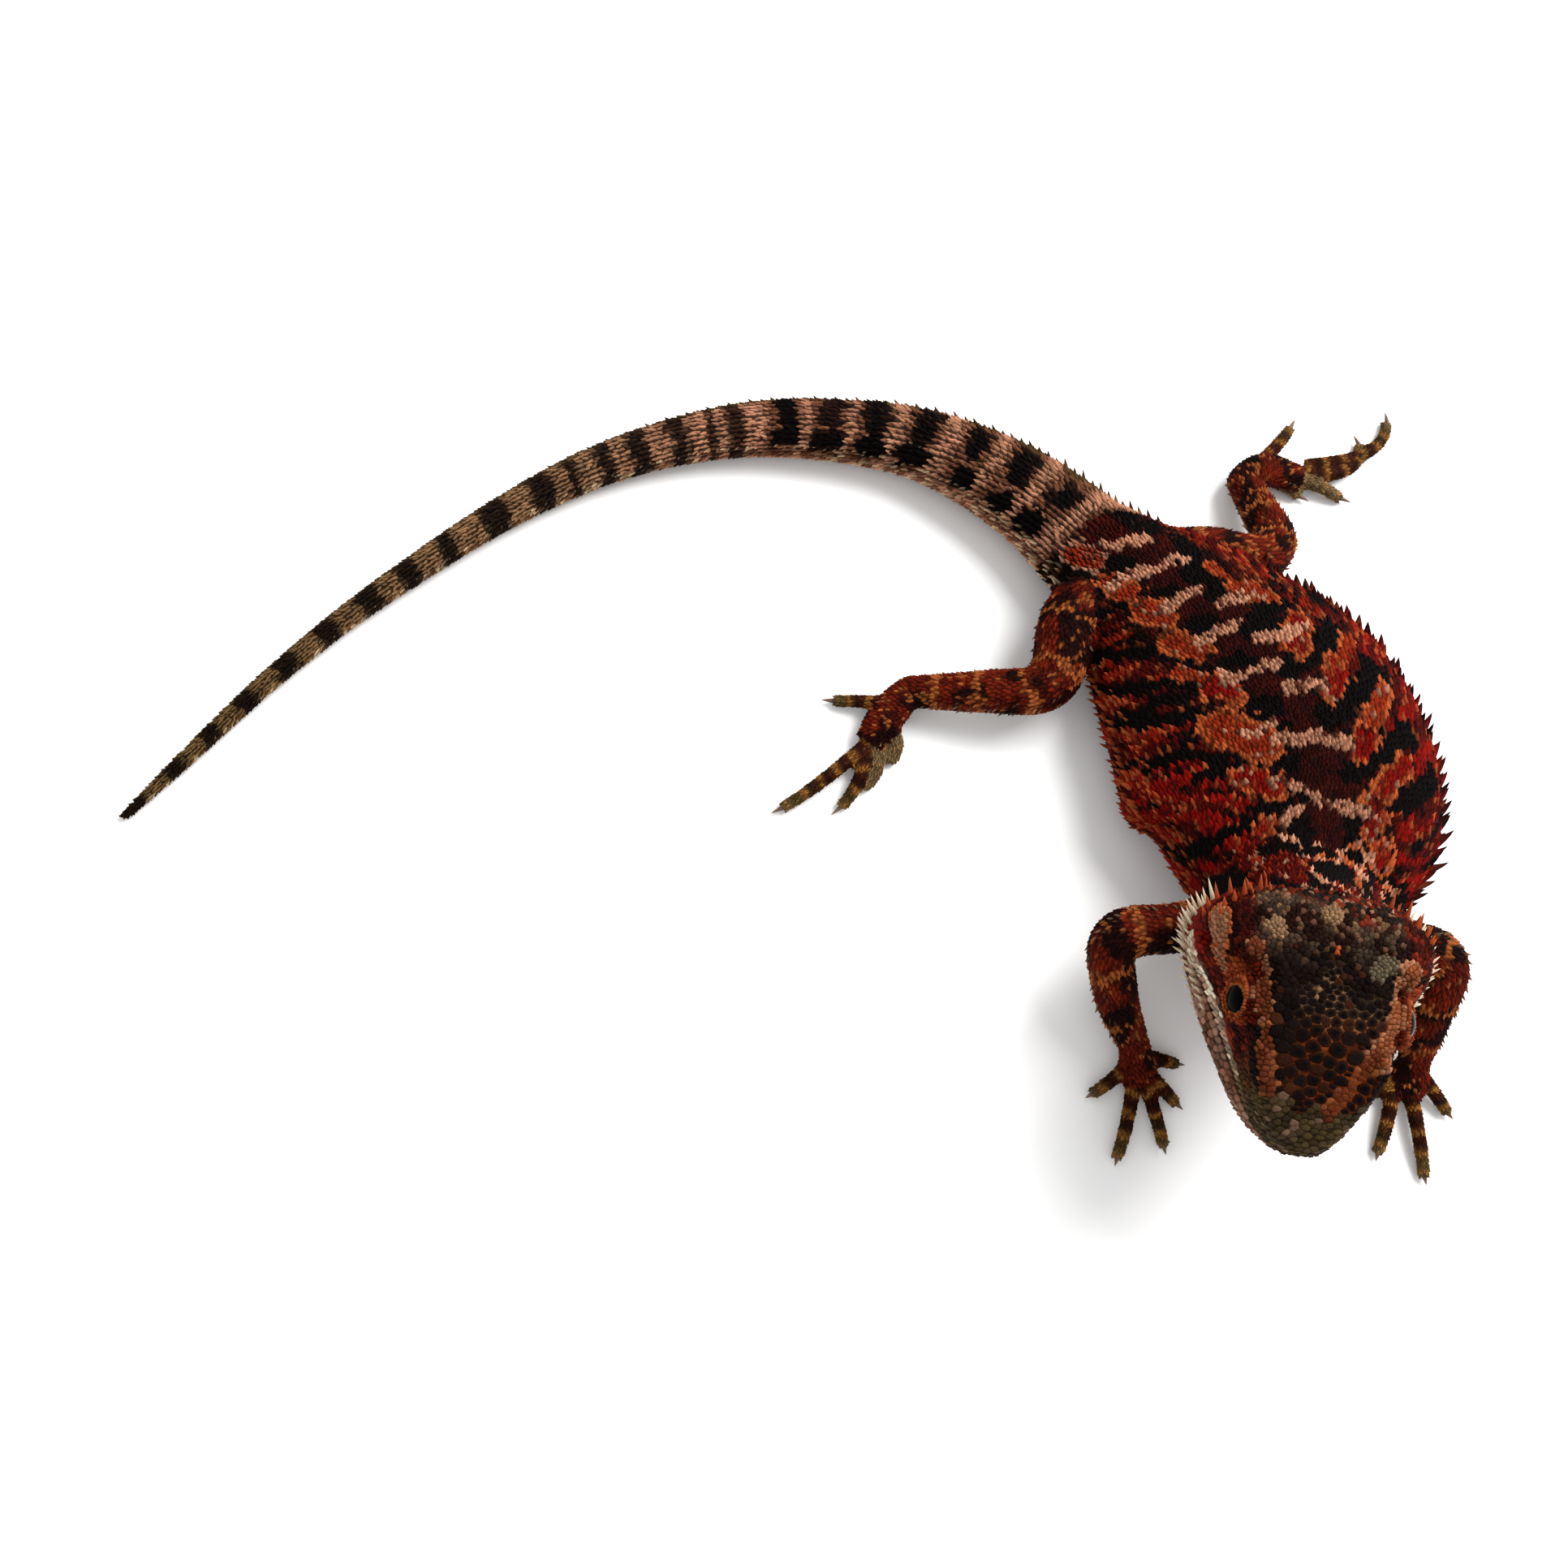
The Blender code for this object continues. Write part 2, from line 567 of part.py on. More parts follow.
def grown_copy(piece, collection):
    """The piece swollen by the gap, for cutting its neighbours."""
    bm = bmesh.new()
    bm.from_mesh(piece.data)
    bm.normal_update()
    moves = [(vertex, vertex.co + vertex.normal * GAP * MM) for vertex in bm.verts]
    for vertex, place in moves:
        vertex.co = place
    mesh = bpy.data.meshes.new("grown_" + piece.name)
    bm.to_mesh(mesh)
    bm.free()
    cutter = bpy.data.objects.new("grown_" + piece.name, mesh)
    collection.objects.link(cutter)
    cutter.hide_render = True
    cutter.display_type = "WIRE"
    return cutter


def surface_of(piece):
    corners = [vertex.co / MM for vertex in piece.data.vertices]
    return BVHTree.FromPolygons(corners, [tuple(face.vertices) for face in piece.data.polygons])


def spine(root, direction, length, width, pieces):
    """A tapered spine with its root sunk in the skin."""
    bm = bmesh.new()
    bmesh.ops.create_cone(bm, cap_ends=True, segments=SPINE_SIDES, radius1=width / 2, radius2=0.0,
                          depth=length + SPINE_SUNK)
    turn = direction.to_track_quat("Z", "Y")
    middle = root + direction * (length - SPINE_SUNK) / 2
    for vertex in bm.verts:
        vertex.co = turn @ vertex.co + middle
    finished("spine", bm, pieces)


class Spines:
    """Grows spines on one node, clear of all the others."""

    def __init__(self, piece, parts, pieces, draw):
        self.piece = piece
        self.pieces = pieces
        self.draw = draw
        self.surface = surface_of(piece)
        self.others = [surface_of(other) for other in parts.objects if other != piece]

    def grow(self, inside, toward, lean, length, width):
        """One spine where the line from inside meets the skin, leaning off its normal."""
        root, normal, _, _ = self.surface.ray_cast(Vector(inside), Vector(toward).normalized())
        if root is None:
            return
        direction = (normal + Vector(lean)).normalized()
        length *= 1 + self.draw.uniform(-LENGTH_SPREAD, LENGTH_SPREAD)
        tip = root + direction * length
        middle = root + direction * length / 2
        for other in self.others:
            if min(other.find_nearest(place)[3] for place in (root, middle, tip)) < SPINE_CLEARANCE:
                return
        if tip.z > SPINE_CLEARANCE:
            spine(root, direction, length, width, self.pieces)

    def close(self):
        fuse(self.piece, self.pieces)


def trunk_spines(spines, node):
    """The rows of one length of the trunk or tail, on both sides."""
    line = TRUNK_LINE + TAIL_LINE
    marks = chord_marks(line)
    stations = np.arange(len(line))
    for name, first, last, degrees, spacing, longest, shortest, width in TRUNK_SPINES:
        if name != node:
            continue
        start, end = np.interp((first, last), stations, marks)
        count = max(2, round((end - start) / spacing) + 1)
        at = np.linspace(start, end, count)
        rows = smooth_rows(line, at)
        ahead = smooth_rows(line, at + 0.5)[:, :2] - rows[:, :2]
        for i, (row, (dx, dy)) in enumerate(zip(rows, ahead)):
            tailward = np.array((dx, dy, 0.0)) / math.hypot(dx, dy)
            length = longest + (shortest - longest) * i / (count - 1)
            for _, side in SIDES:
                out = np.cross(tailward, UP) * side
                toward = out * math.cos(math.radians(degrees)) + UP * math.sin(math.radians(degrees))
                spines.grow(row[:3], toward, tailward * 0.7, length, width)


def head_direction(across, forward, height):
    return head_point(across, forward, height) - CROWN


def head_spines(spines):
    """Beard, jowl and temple spines on both sides, and a row over the nape."""
    for start, end, low, high, count, longest, shortest, width, back, up in HEAD_SPINES:
        for i in range(count):
            share = i / max(1, count - 1)
            forward = start + (end - start) * share
            height = low + (high - low) * share
            length = longest + (shortest - longest) * share
            for _, side in SIDES:
                spines.grow(head_point(0.0, forward, height), head_direction(side, 0.0, 0.0),
                            head_direction(0.0, -back, up), length, width)
    for i in range(NAPE_SPINES):
        across = (i / (NAPE_SPINES - 1) - 0.5) * 16
        spines.grow(head_point(across, 4.0, -7.0), head_direction(0.0, -1.0, 0.25),
                    head_direction(0.0, 0.0, 0.5), 1.6, 1.3)


def neck_spines(spines):
    """A few spines on both sides of the neck, below the jowls."""
    marks = chord_marks(NECK_LINE)
    for share, degrees, count in NECK_SPINES:
        for i in range(count):
            at = marks[-1] * (share + 0.08 * i)
            row = smooth_rows(NECK_LINE, np.array([at]))[0]
            for _, side in SIDES:
                spines.grow(row[:3], (-side, math.sin(math.radians(degrees)), 0.1 * i),
                            (0.0, 0.5, -0.2), 1.8, 1.2)


def limb_spines(spines, node):
    """A row along the rear edge of one length of a limb."""
    names = next(names for names in LIMBS if node in names.split())
    bend, rows = LIMBS[names]
    marks = chord_marks(rows)
    kind = node.rsplit("_", 1)[0]
    count, spacing, length = next(entry[1:] for entry in LIMB_SPINES if entry[0] == kind)
    lower = node == names.split()[1]
    start = marks[bend] + 3.0 if lower else marks[bend] - spacing * count
    for i in range(count):
        at = np.array([start + spacing * i])
        row = smooth_rows(rows, at)[0]
        ahead = unit(smooth_rows(rows, at + 0.5)[0][:3] - row[:3])
        outer = unit(np.array(rows[bend][:3]) * 2 - np.array(rows[0][:3]) - np.array(rows[-1][:3]))
        outer = unit(outer - ahead * outer.dot(ahead) + UP * 0.3)
        spines.grow(row[:3], outer, ahead * 0.7, length, length)


def grow_all_spines(parts, pieces):
    draw = random.Random(11)
    for piece in list(parts.objects):
        kind = piece.name.rsplit("_", 1)[0]
        if piece.name.startswith("eye") or kind in ("hand", "foot") or piece.name == "tail_tip":
            continue
        spines = Spines(piece, parts, pieces, draw)
        if piece.name == "head":
            head_spines(spines)
        elif piece.name == "neck":
            neck_spines(spines)
        elif piece.name == "torso" or kind == "tail":
            trunk_spines(spines, piece.name)
        else:
            limb_spines(spines, piece.name)
        spines.close()


def material(name, colour, roughness):
    finish = bpy.data.materials.new(name)
    finish.use_nodes = True
    shader = finish.node_tree.nodes["Principled BSDF"]
    shader.inputs["Base Color"].default_value = (*colour, 1.0)
    shader.inputs["Roughness"].default_value = roughness
    shader.inputs["Metallic"].default_value = 0.0
    return finish


def colour_for(name):
    for word, kind in (("eye", "eye"), ("head", "head"), ("tail", "tail"), ("neck", "trunk"),
                       ("torso", "trunk")):
        if name.startswith(word):
            return COLOURS[kind]
    return COLOURS["limb"]


def new_collection(name):
    collection = bpy.data.collections.new(name)
    bpy.context.scene.collection.children.link(collection)
    return collection


def build_trunk(parts):
    torso = loft("torso", trunk_rings(0, VENT, TRUNK_SPACING, TRUNK_SIDES), parts)
    for name, first, last in TAIL_PARTS:
        loft(name, trunk_rings(first, last, TAIL_SPACING, TAIL_SIDES, GAP), parts)
    return torso


def build_head(parts, pieces, cutters):
    head = head_form(parts)
    grown = grown_copy(head, cutters)
    for word, side in SIDES:
        lid_ring("lid_" + word, side, pieces)
    fuse(head, pieces)
    for word, side in SIDES:
        head_ball("cut_socket", EYE_CENTRE, (EYE_RADIUS + GAP,) * 3, side, pieces)
        head_ball("cut_ear", EAR_CENTRE, EAR_RADII, side, pieces, 12)
        head_ball("cut_nostril", NOSTRIL_CENTRE, (NOSTRIL_RADIUS,) * 3, side, pieces, 8)
        head_ball("eye_" + word, EYE_CENTRE, (EYE_RADIUS,) * 3, side, parts)
    mouth_groove(pieces)
    boolean(head, "DIFFERENCE", collection=pieces)
    clear(pieces)
    return head, grown


def main():
    for old in list(bpy.data.objects):
        bpy.data.objects.remove(old)
    parts = new_collection("bearded_dragon")
    cutters = new_collection("cutters")
    pieces = new_collection("pieces")
    torso = build_trunk(parts)
    grown_torso = grown_copy(torso, cutters)
    head, grown_head = build_head(parts, pieces, cutters)
    marks = chord_marks(NECK_LINE)
    neck = loft("neck", tube_rings(NECK_LINE, np.linspace(0, marks[-1], 9), 20), parts)
    grown_neck = grown_copy(neck, cutters)
    boolean(neck, "DIFFERENCE", other=grown_torso)
    boolean(neck, "DIFFERENCE", other=grown_head)
    for names, (bend, rows) in LIMBS.items():
        upper = limb_nodes(names, bend, rows, parts, cutters)
        boolean(upper, "DIFFERENCE", other=grown_torso)
        if "arm" in names:
            boolean(upper, "DIFFERENCE", other=grown_neck)
    for name, (limb, palm, toes) in FEET.items():
        rows = next(rows for names, (_, rows) in LIMBS.items() if names.split()[1] == limb)
        foot_node(name, limb, rows, palm, toes, parts, pieces, cutters)
    grow_all_spines(parts, pieces)
    for piece in parts.objects:
        piece.data.materials.clear()
        piece.data.materials.append(material(piece.name, colour_for(piece.name), 0.6))
        piece.data.shade_smooth()
        piece.data.set_sharp_from_angle(angle=math.radians(40))


main()
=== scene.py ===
"""The bearded dragon's looks: one skin, a coat of scales and spines over it, eyes, claws, light and camera.

Lengths below are millimetres, and each mesh is brought to metres as it is finished. The frame is the
model's own: +Z up from the floor, the head faces -Y, and the animal's right side is towards -X.
"""

import math
from collections import namedtuple
from itertools import product

import bmesh
import bpy
import numpy as np
from mathutils import Matrix, Vector
from mathutils.bvhtree import BVHTree
from mathutils.kdtree import KDTree


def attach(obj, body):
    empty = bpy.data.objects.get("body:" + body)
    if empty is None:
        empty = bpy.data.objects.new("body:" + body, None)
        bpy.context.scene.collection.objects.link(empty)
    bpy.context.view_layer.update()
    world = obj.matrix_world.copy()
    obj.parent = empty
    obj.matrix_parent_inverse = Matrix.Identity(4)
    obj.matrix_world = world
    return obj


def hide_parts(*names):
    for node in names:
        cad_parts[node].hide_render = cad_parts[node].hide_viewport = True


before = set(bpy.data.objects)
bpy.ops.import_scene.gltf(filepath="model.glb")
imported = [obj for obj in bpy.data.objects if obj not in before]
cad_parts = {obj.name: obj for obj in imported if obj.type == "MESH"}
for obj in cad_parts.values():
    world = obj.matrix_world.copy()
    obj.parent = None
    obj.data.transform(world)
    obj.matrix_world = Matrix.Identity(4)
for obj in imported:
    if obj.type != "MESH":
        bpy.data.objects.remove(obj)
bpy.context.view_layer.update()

MM = 0.001
UP = np.array((0.0, 0.0, 1.0))
COAT_DEPTH = 0.34
OVERLAP = 1.34
VOXEL = 0.72
RNG = np.random.default_rng(23)

# The trunk and tail, from the breast to the tail's tip: x, y, the level of the widest point,
# half the width, the height of the back and the height of the underside.
BODY_LINE = np.array((
    (1.0, -53.0, 14.5, 5.0, 18.5, 11.0),
    (1.5, -49.5, 14.5, 10.5, 23.5, 8.0),
    (3.2, -43.5, 14.5, 15.6, 29.5, 5.0),
    (4.9, -34.0, 12.5, 22.3, 31.5, 1.5),
    (6.3, -23.0, 10.5, 29.2, 30.5, -0.4),
    (4.6, -11.0, 10.0, 30.8, 29.5, -0.8),
    (-0.6, 0.0, 10.0, 29.2, 28.5, -0.8),
    (-6.5, 8.8, 10.0, 25.4, 26.5, -0.8),
    (-13.0, 17.6, 9.5, 20.5, 23.5, -0.8),
    (-20.3, 26.2, 8.8, 14.8, 20.0, -0.6),
    (-28.5, 34.5, 8.0, 10.8, 17.0, -0.5),
    (-34.5, 40.8, 7.6, 9.6, 15.6, -0.5),
    (-42.0, 46.8, 7.4, 8.8, 14.6, -0.4),
    (-50.0, 51.7, 7.0, 8.0, 13.6, -0.4),
    (-62.0, 56.7, 6.3, 6.9, 12.4, -0.3),
    (-78.0, 59.2, 5.8, 6.2, 11.3, -0.3),
    (-94.0, 59.3, 5.2, 5.5, 10.2, -0.25),
    (-110.0, 56.4, 4.5, 4.7, 8.9, -0.2),
    (-126.0, 50.7, 3.9, 4.05, 7.8, -0.2),
    (-142.0, 42.0, 3.3, 3.4, 6.6, -0.15),
    (-158.0, 31.0, 2.8, 2.9, 5.6, -0.15),
    (-173.0, 19.4, 2.4, 2.45, 4.8, -0.1),
    (-188.0, 5.7, 2.0, 2.05, 4.0, -0.1),
    (-201.0, -8.0, 1.65, 1.7, 3.3, -0.1),
    (-211.8, -19.2, 1.1, 1.1, 2.1, -0.05),
))
VENT = 10
BACK_SQUARENESS = 2.15

# The neck: x, y and z of its middle, half its width, and half its depth from nape to throat.
NECK_LINE = np.array((
    (4.0, -32.0, 17.5, 15.0, 11.0),
    (2.5, -39.0, 22.5, 16.5, 12.5),
    (-0.5, -45.0, 30.0, 15.5, 12.5),
    (-4.0, -49.5, 38.5, 14.0, 11.0),
    (-5.5, -51.5, 43.0, 12.0, 9.0),
))

# The head stands at the middle of the crown's rear edge, turned and rolled a little.
CROWN = np.array((-4.9, -44.5, 54.0))
HEAD_TURN = math.radians(10.5)
HEAD_ROLL = math.radians(9)
# Its sections from the nape to the snout: the distance forward, the height of the crown, then half
# the width and the height of the brow, temple, cheek, lip and jaw edge, and the height of the throat.
HEAD_SECTIONS = np.array((
    (-3.5, -6.5, 6.0, -8.0, 9.5, -10.5, 12.0, -14.0, 13.0, -18.0, 12.0, -22.0, -24.0),
    (-1.0, -3.0, 9.0, -4.5, 13.5, -8.0, 16.5, -13.5, 17.5, -19.0, 16.5, -24.0, -26.5),
    (3.0, -0.8, 11.8, -2.2, 16.2, -7.5, 19.3, -13.5, 20.2, -19.0, 19.6, -24.5, -27.5),
    (8.0, 0.0, 13.0, -1.0, 16.2, -7.5, 19.0, -13.5, 19.8, -18.8, 19.8, -24.3, -27.0),
    (13.0, 0.4, 13.4, -0.4, 14.4, -6.0, 16.2, -13.0, 17.2, -18.2, 18.6, -23.4, -26.0),
    (18.0, 0.2, 13.2, -0.5, 13.4, -6.0, 14.0, -12.8, 14.9, -17.6, 16.9, -22.4, -24.8),
    (23.0, -1.0, 11.6, -1.8, 11.6, -7.0, 12.0, -12.6, 12.7, -16.9, 15.0, -21.2, -23.4),
    (28.0, -3.4, 9.2, -4.0, 9.9, -8.3, 10.3, -12.8, 10.6, -16.4, 12.7, -20.2, -22.0),
    (33.0, -6.2, 7.0, -6.8, 7.9, -10.0, 8.2, -13.3, 8.4, -16.1, 10.0, -19.2, -20.6),
    (36.6, -8.8, 4.8, -9.4, 5.6, -11.6, 5.9, -13.9, 6.0, -15.9, 6.8, -18.3, -19.2),
    (38.8, -11.4, 2.4, -11.8, 3.2, -13.0, 3.7, -14.4, 3.8, -15.7, 3.1, -17.2, -17.7),
))
HEAD_START = HEAD_SECTIONS[0, 0]
SNOUT_TIP = (39.8, -14.6)
OCCIPUT = (-5.0, -15.5)

EYE_RADIUS = 4.3
EYE_TILT = math.radians(25)
EYE_OPENING = 38.0
EYE_LONG, EYE_TALL = 1.15, 0.92
EYE_CENTRE = (10.6, 16.4, -6.2)
EAR_CENTRE = (18.6, 6.6, -10.8)
NOSTRIL_CENTRE = (7.0, 34.6, -10.2)
MOUTH_CORNER = 8.0

# Low ridges and bosses on each side of the head: their height and reach, and from where to where.
HEAD_RIDGES = (
    (0.55, 2.0, (12.6, 8.5, -0.8), (12.4, 15.0, -0.4)), (0.55, 1.9, (12.4, 15.0, -0.4), (10.4, 22.0, -1.6)),
    (0.5, 1.8, (10.4, 22.0, -1.6), (7.2, 30.0, -5.4)), (0.9, 3.4, (17.2, 2.0, -7.5), (15.6, 9.5, -6.6)),
    (0.35, 2.4, (8.9, 4.6, -0.6), (9.1, 4.8, -0.6)), (0.35, 2.2, (0.4, 1.4, -1.6), (0.5, 1.6, -1.6)),
    (-0.5, 2.0, (12.4, 2.0, -3.0), (11.6, 11.0, -1.2)),
)

# Each limb, from inside the trunk to the wrist or ankle: x, y, z, half width and half thickness.
LIMBS = {
    "arm_right": ((-8.0, -41.0, 17.0, 6.0, 6.0), (-17.0, -43.2, 19.0, 5.2, 5.2),
                  (-31.0, -45.5, 18.5, 4.6, 4.4), (-29.6, -54.0, 12.5, 4.3, 4.0),
                  (-24.4, -63.8, 5.2, 3.2, 2.6)),
    "arm_left": ((11.0, -41.0, 17.0, 6.2, 6.0), (19.0, -45.8, 20.0, 5.4, 5.2),
                 (29.6, -50.0, 19.0, 5.0, 4.8), (29.6, -58.5, 12.5, 4.6, 4.2),
                 (29.6, -67.0, 5.2, 3.4, 2.6)),
    "leg_right": ((-18.0, 27.0, 10.5, 7.0, 7.0), (-32.0, 19.5, 11.0, 6.4, 6.6),
                  (-38.5, 4.5, 10.5, 5.0, 5.2), (-50.5, 4.0, 8.4, 4.3, 4.2),
                  (-64.0, 5.0, 4.6, 3.3, 3.0)),
    "leg_left": ((-16.0, 29.0, 10.5, 7.0, 7.0), (-4.0, 31.6, 11.0, 6.0, 6.4),
                 (5.5, 30.6, 10.8, 5.2, 5.4), (9.6, 34.4, 9.8, 4.6, 4.8),
                 (8.8, 41.5, 7.4, 4.1, 4.0), (6.4, 50.0, 4.6, 3.3, 3.0)),
}
# Each hand and foot: its limb, its palm's rows as above, and its toes: x and y of the knuckle, the
# heading in degrees from -Y towards +X, the length to the claw's root, and how far it bends sideways.
FEET = {
    "hand_right": ("arm_right", ((-23.6, -67.5, 3.0, 3.6, 2.3), (-23.4, -71.0, 2.4, 3.0, 1.8)), (
        (-19.8, -66.0, 76, 4.8, 4), (-21.0, -69.0, 42, 7.6, 4), (-22.2, -70.0, 16, 12.6, -2),
        (-24.0, -70.0, -14, 14.6, -4), (-25.2, -67.3, -50, 8.4, -8))),
    "hand_left": ("arm_left", ((29.3, -70.5, 3.0, 3.6, 2.3), (29.2, -74.0, 2.4, 3.0, 1.8)), (
        (27.0, -68.6, -88, 4.6, -6), (27.2, -71.0, -68, 7.0, 0), (26.0, -73.0, -17, 11.8, -2),
        (29.6, -74.0, 5, 14.8, 2), (32.4, -70.6, 34, 8.0, 4))),
    "foot_right": ("leg_right", ((-68.4, 0.6, 4.0, 3.9, 2.8), (-72.2, -4.6, 2.8, 3.0, 2.1)), (
        (-66.8, -4.0, 15, 4.6, -60), (-70.4, -7.0, 0, 7.4, -56), (-72.6, -8.0, -20, 10.6, -22),
        (-73.8, -6.2, -50, 19.0, -10), (-69.5, 3.2, -95, 9.2, 0))),
    "foot_left": ("leg_left", ((10.8, 52.8, 4.0, 3.9, 2.8), (19.6, 52.0, 2.8, 3.0, 2.1)), (
        (16.5, 50.4, 62, 3.6, 0), (22.0, 51.0, 68, 7.2, 0), (23.0, 52.6, 94, 15.0, 78),
        (23.4, 55.2, 97, 21.6, 62), (11.8, 55.4, 134, 11.4, 10))),
}
TOE_JOINTS = 7
TOE_ROOT = 2.0
TOE_RADIUS = 1.65
TOE_END_RADIUS = 1.3
TOE_LEVEL = 2.0
TOE_END_LEVEL = 1.1
TOE_ARCH = 0.8
HAND_CLAW_LENGTH = 1.7
FOOT_CLAW_LENGTH = 2.8
CLAW_WIDTH = 1.178

# Where the skin runs smoothly from one form into the next: the middle and the reach of the blend.
BLENDS = (((2.0, -44.0, 24.0), 17.0), ((-19.0, -43.0, 18.0), 10.0), ((21.0, -45.0, 18.0), 10.0),
          ((-30.0, 21.0, 10.0), 12.0), ((-2.0, 33.0, 10.0), 13.0), ((-3.0, -50.0, 34.0), 13.0))


# ---- Shape helpers

def unit(vectors):
    return vectors / np.maximum(np.linalg.norm(vectors, axis=-1, keepdims=True), 1e-9)


def chord_marks(rows):
    """Distances along the chords between the rows' places."""
    steps = np.linalg.norm(np.diff(np.asarray(rows, float)[:, :3], axis=0), axis=1)
    return np.concatenate([[0.0], np.cumsum(steps)])


def smooth_rows(rows, at, marks=None):
    """The rows' values on a smooth curve through them, at distances along the chords."""
    rows = np.asarray(rows, float)
    marks = chord_marks(rows) if marks is None else marks
    slopes = np.gradient(rows, marks, axis=0)
    k = np.clip(np.searchsorted(marks, at, side="right") - 1, 0, len(marks) - 2)
    span = (marks[k + 1] - marks[k])[:, None]
    u = (at - marks[k])[:, None] / span
    return (rows[k] * (2 * u**3 - 3 * u**2 + 1) + slopes[k] * span * (u**3 - 2 * u**2 + u)
            + rows[k + 1] * (3 * u**2 - 2 * u**3) + slopes[k + 1] * span * (u**3 - u**2))


def soft_step(low, high, value):
    u = np.clip((value - low) / (high - low), 0.0, 1.0)
    return u * u * (3 - 2 * u)


def cloud(points, size, seed=0.0):
    """Soft noise from 0 to 1 that changes over about that size."""
    q = np.asarray(points, float) / size + seed * 17.31
    cell = np.floor(q)
    f = q - cell
    f = f * f * (3 - 2 * f)
    total = np.zeros(len(q))
    for corner in np.ndindex(2, 2, 2):
        h = np.sin((cell + corner) @ np.array((127.1, 311.7, 74.7)) + seed) * 43758.5453
        total += np.prod(np.where(corner, f, 1 - f), axis=1) * (h - np.floor(h))
    return total


def set_out(origins, *terms):
    """Points set out from each origin, by distances along directions of its own."""
    points = origins[:, None]
    for distances, directions in terms:
        points = points + distances[..., None] * directions[:, None]
    return points


def placed(name, data):
    """A new object in the scene."""
    thing = bpy.data.objects.new(name, data)
    bpy.context.scene.collection.objects.link(thing)
    return thing


def tree_of(points):
    tree = KDTree(len(points))
    for i, point in enumerate(points):
        tree.insert(point, i)
    tree.balance()
    return tree


HEAD_RIGHT = np.array((-math.cos(HEAD_TURN), math.sin(HEAD_TURN), 0.0))
HEAD_AHEAD = np.array((-math.sin(HEAD_TURN), -math.cos(HEAD_TURN), 0.0))
HEAD_AXES = np.array((math.cos(HEAD_ROLL) * HEAD_RIGHT - math.sin(HEAD_ROLL) * UP, HEAD_AHEAD,
                      math.sin(HEAD_ROLL) * HEAD_RIGHT + math.cos(HEAD_ROLL) * UP))


def head_direction(across, forward, height):
    return np.array((across, forward, height)) @ HEAD_AXES


def head_point(across, forward, height):
    return CROWN + head_direction(across, forward, height)


def head_coordinates(points):
    return (np.asarray(points) - CROWN) @ HEAD_AXES.T


def head_rows(forward):
    """The head's sections at distances forward."""
    marks = HEAD_SECTIONS[:, 0] - HEAD_START
    return smooth_rows(HEAD_SECTIONS, np.asarray(forward, float) - HEAD_START, marks)


def lip_heights(forward):
    return head_rows(np.clip(forward, HEAD_START, HEAD_SECTIONS[-1, 0]))[:, 9]


def eye_frame(side):
    """An eye's middle, its axis, and the way up across it."""
    right, _, up = HEAD_AXES
    return (head_point(side * EYE_CENTRE[0], *EYE_CENTRE[1:]),
            math.cos(EYE_TILT) * side * right + math.sin(EYE_TILT) * up,
            math.cos(EYE_TILT) * up - math.sin(EYE_TILT) * side * right)


def eye_place(side, turn, off, reach):
    """A place by an eye: the turn round its axis from ahead, the angle off it, and its distance."""
    middle, axis, upward = eye_frame(side)
    around = math.cos(turn) * EYE_LONG * HEAD_AHEAD + math.sin(turn) * EYE_TALL * upward
    return middle + reach * unit(math.cos(off) * axis + math.sin(off) * around)


def eye_angles(points, side):
    """Degrees off an eye's axis, stretched like its opening, and distances from its middle."""
    middle, axis, upward = eye_frame(side)
    away = points - middle
    off = np.hypot(away @ HEAD_AHEAD / EYE_LONG, away @ upward / EYE_TALL)
    return np.degrees(np.arctan2(off, away @ axis)), np.linalg.norm(away, axis=-1)


def gap_to(local, side, centre, reach):
    """How far places on the head are from an ear or nostril, as a share of its reach."""
    return np.linalg.norm((local - np.array(centre) * (side, 1, 1)) / reach, axis=-1)


# ---- The forms that the skin is drawn over: each has closed sections that start over its back,
# a length, the way its scales point, and the points that close its ends.

Form = namedtuple("Form", "name sections length flow ends", defaults=((None, None),))


def headings(rows, at, step, rise=1):
    """Unit vectors along a line through the rows, level with the floor where the rise is 0."""
    length = chord_marks(rows)[-1]
    ahead = smooth_rows(rows, np.minimum(at + step, length)) - smooth_rows(rows, np.maximum(at - step, 0.0))
    return unit(ahead[:, :3] * (1, 1, rise))


def ring_angles(count):
    return np.pi / 2 + np.arange(count) * 2 * np.pi / count


def body_form():
    def flow(at):
        return headings(BODY_LINE, at, 0.5, rise=0)

    def sections(at, count, inset):
        rows = smooth_rows(BODY_LINE, at)
        round_it = np.array((np.cos(ring_angles(count)), np.sin(ring_angles(count))))
        across, above = np.sign(round_it) * np.abs(round_it) ** (2 / BACK_SQUARENESS)
        rise, drop = rows[:, 4] - rows[:, 2] - inset, rows[:, 2] - rows[:, 5] - inset
        height = np.where(above > 0, rise[:, None], drop[:, None]) * above
        wide = (rows[:, 3] - inset)[:, None] * across
        return set_out(rows[:, :3], (wide, np.cross(flow(at), UP)), (height, UP[None]))

    return Form("body", sections, chord_marks(BODY_LINE)[-1], flow)


def tube_form(name, rows, start=0.0, onward=1):
    """A form round a bent line: rows hold x, y, z, half width and half thickness."""
    rows = np.asarray(rows, float)

    def sections(at, count, inset):
        values, ahead = smooth_rows(rows, at + start), headings(rows, at + start, 0.4)
        side = unit(np.cross(ahead, UP))
        wide = (values[:, 3] - inset)[:, None] * np.cos(ring_angles(count))
        thick = (values[:, 4] - inset)[:, None] * np.sin(ring_angles(count))
        return set_out(values[:, :3], (wide, side), (thick, np.cross(side, ahead)))

    return Form(name, sections, chord_marks(rows)[-1] - start, lambda at: onward * headings(rows, at, 0.4))


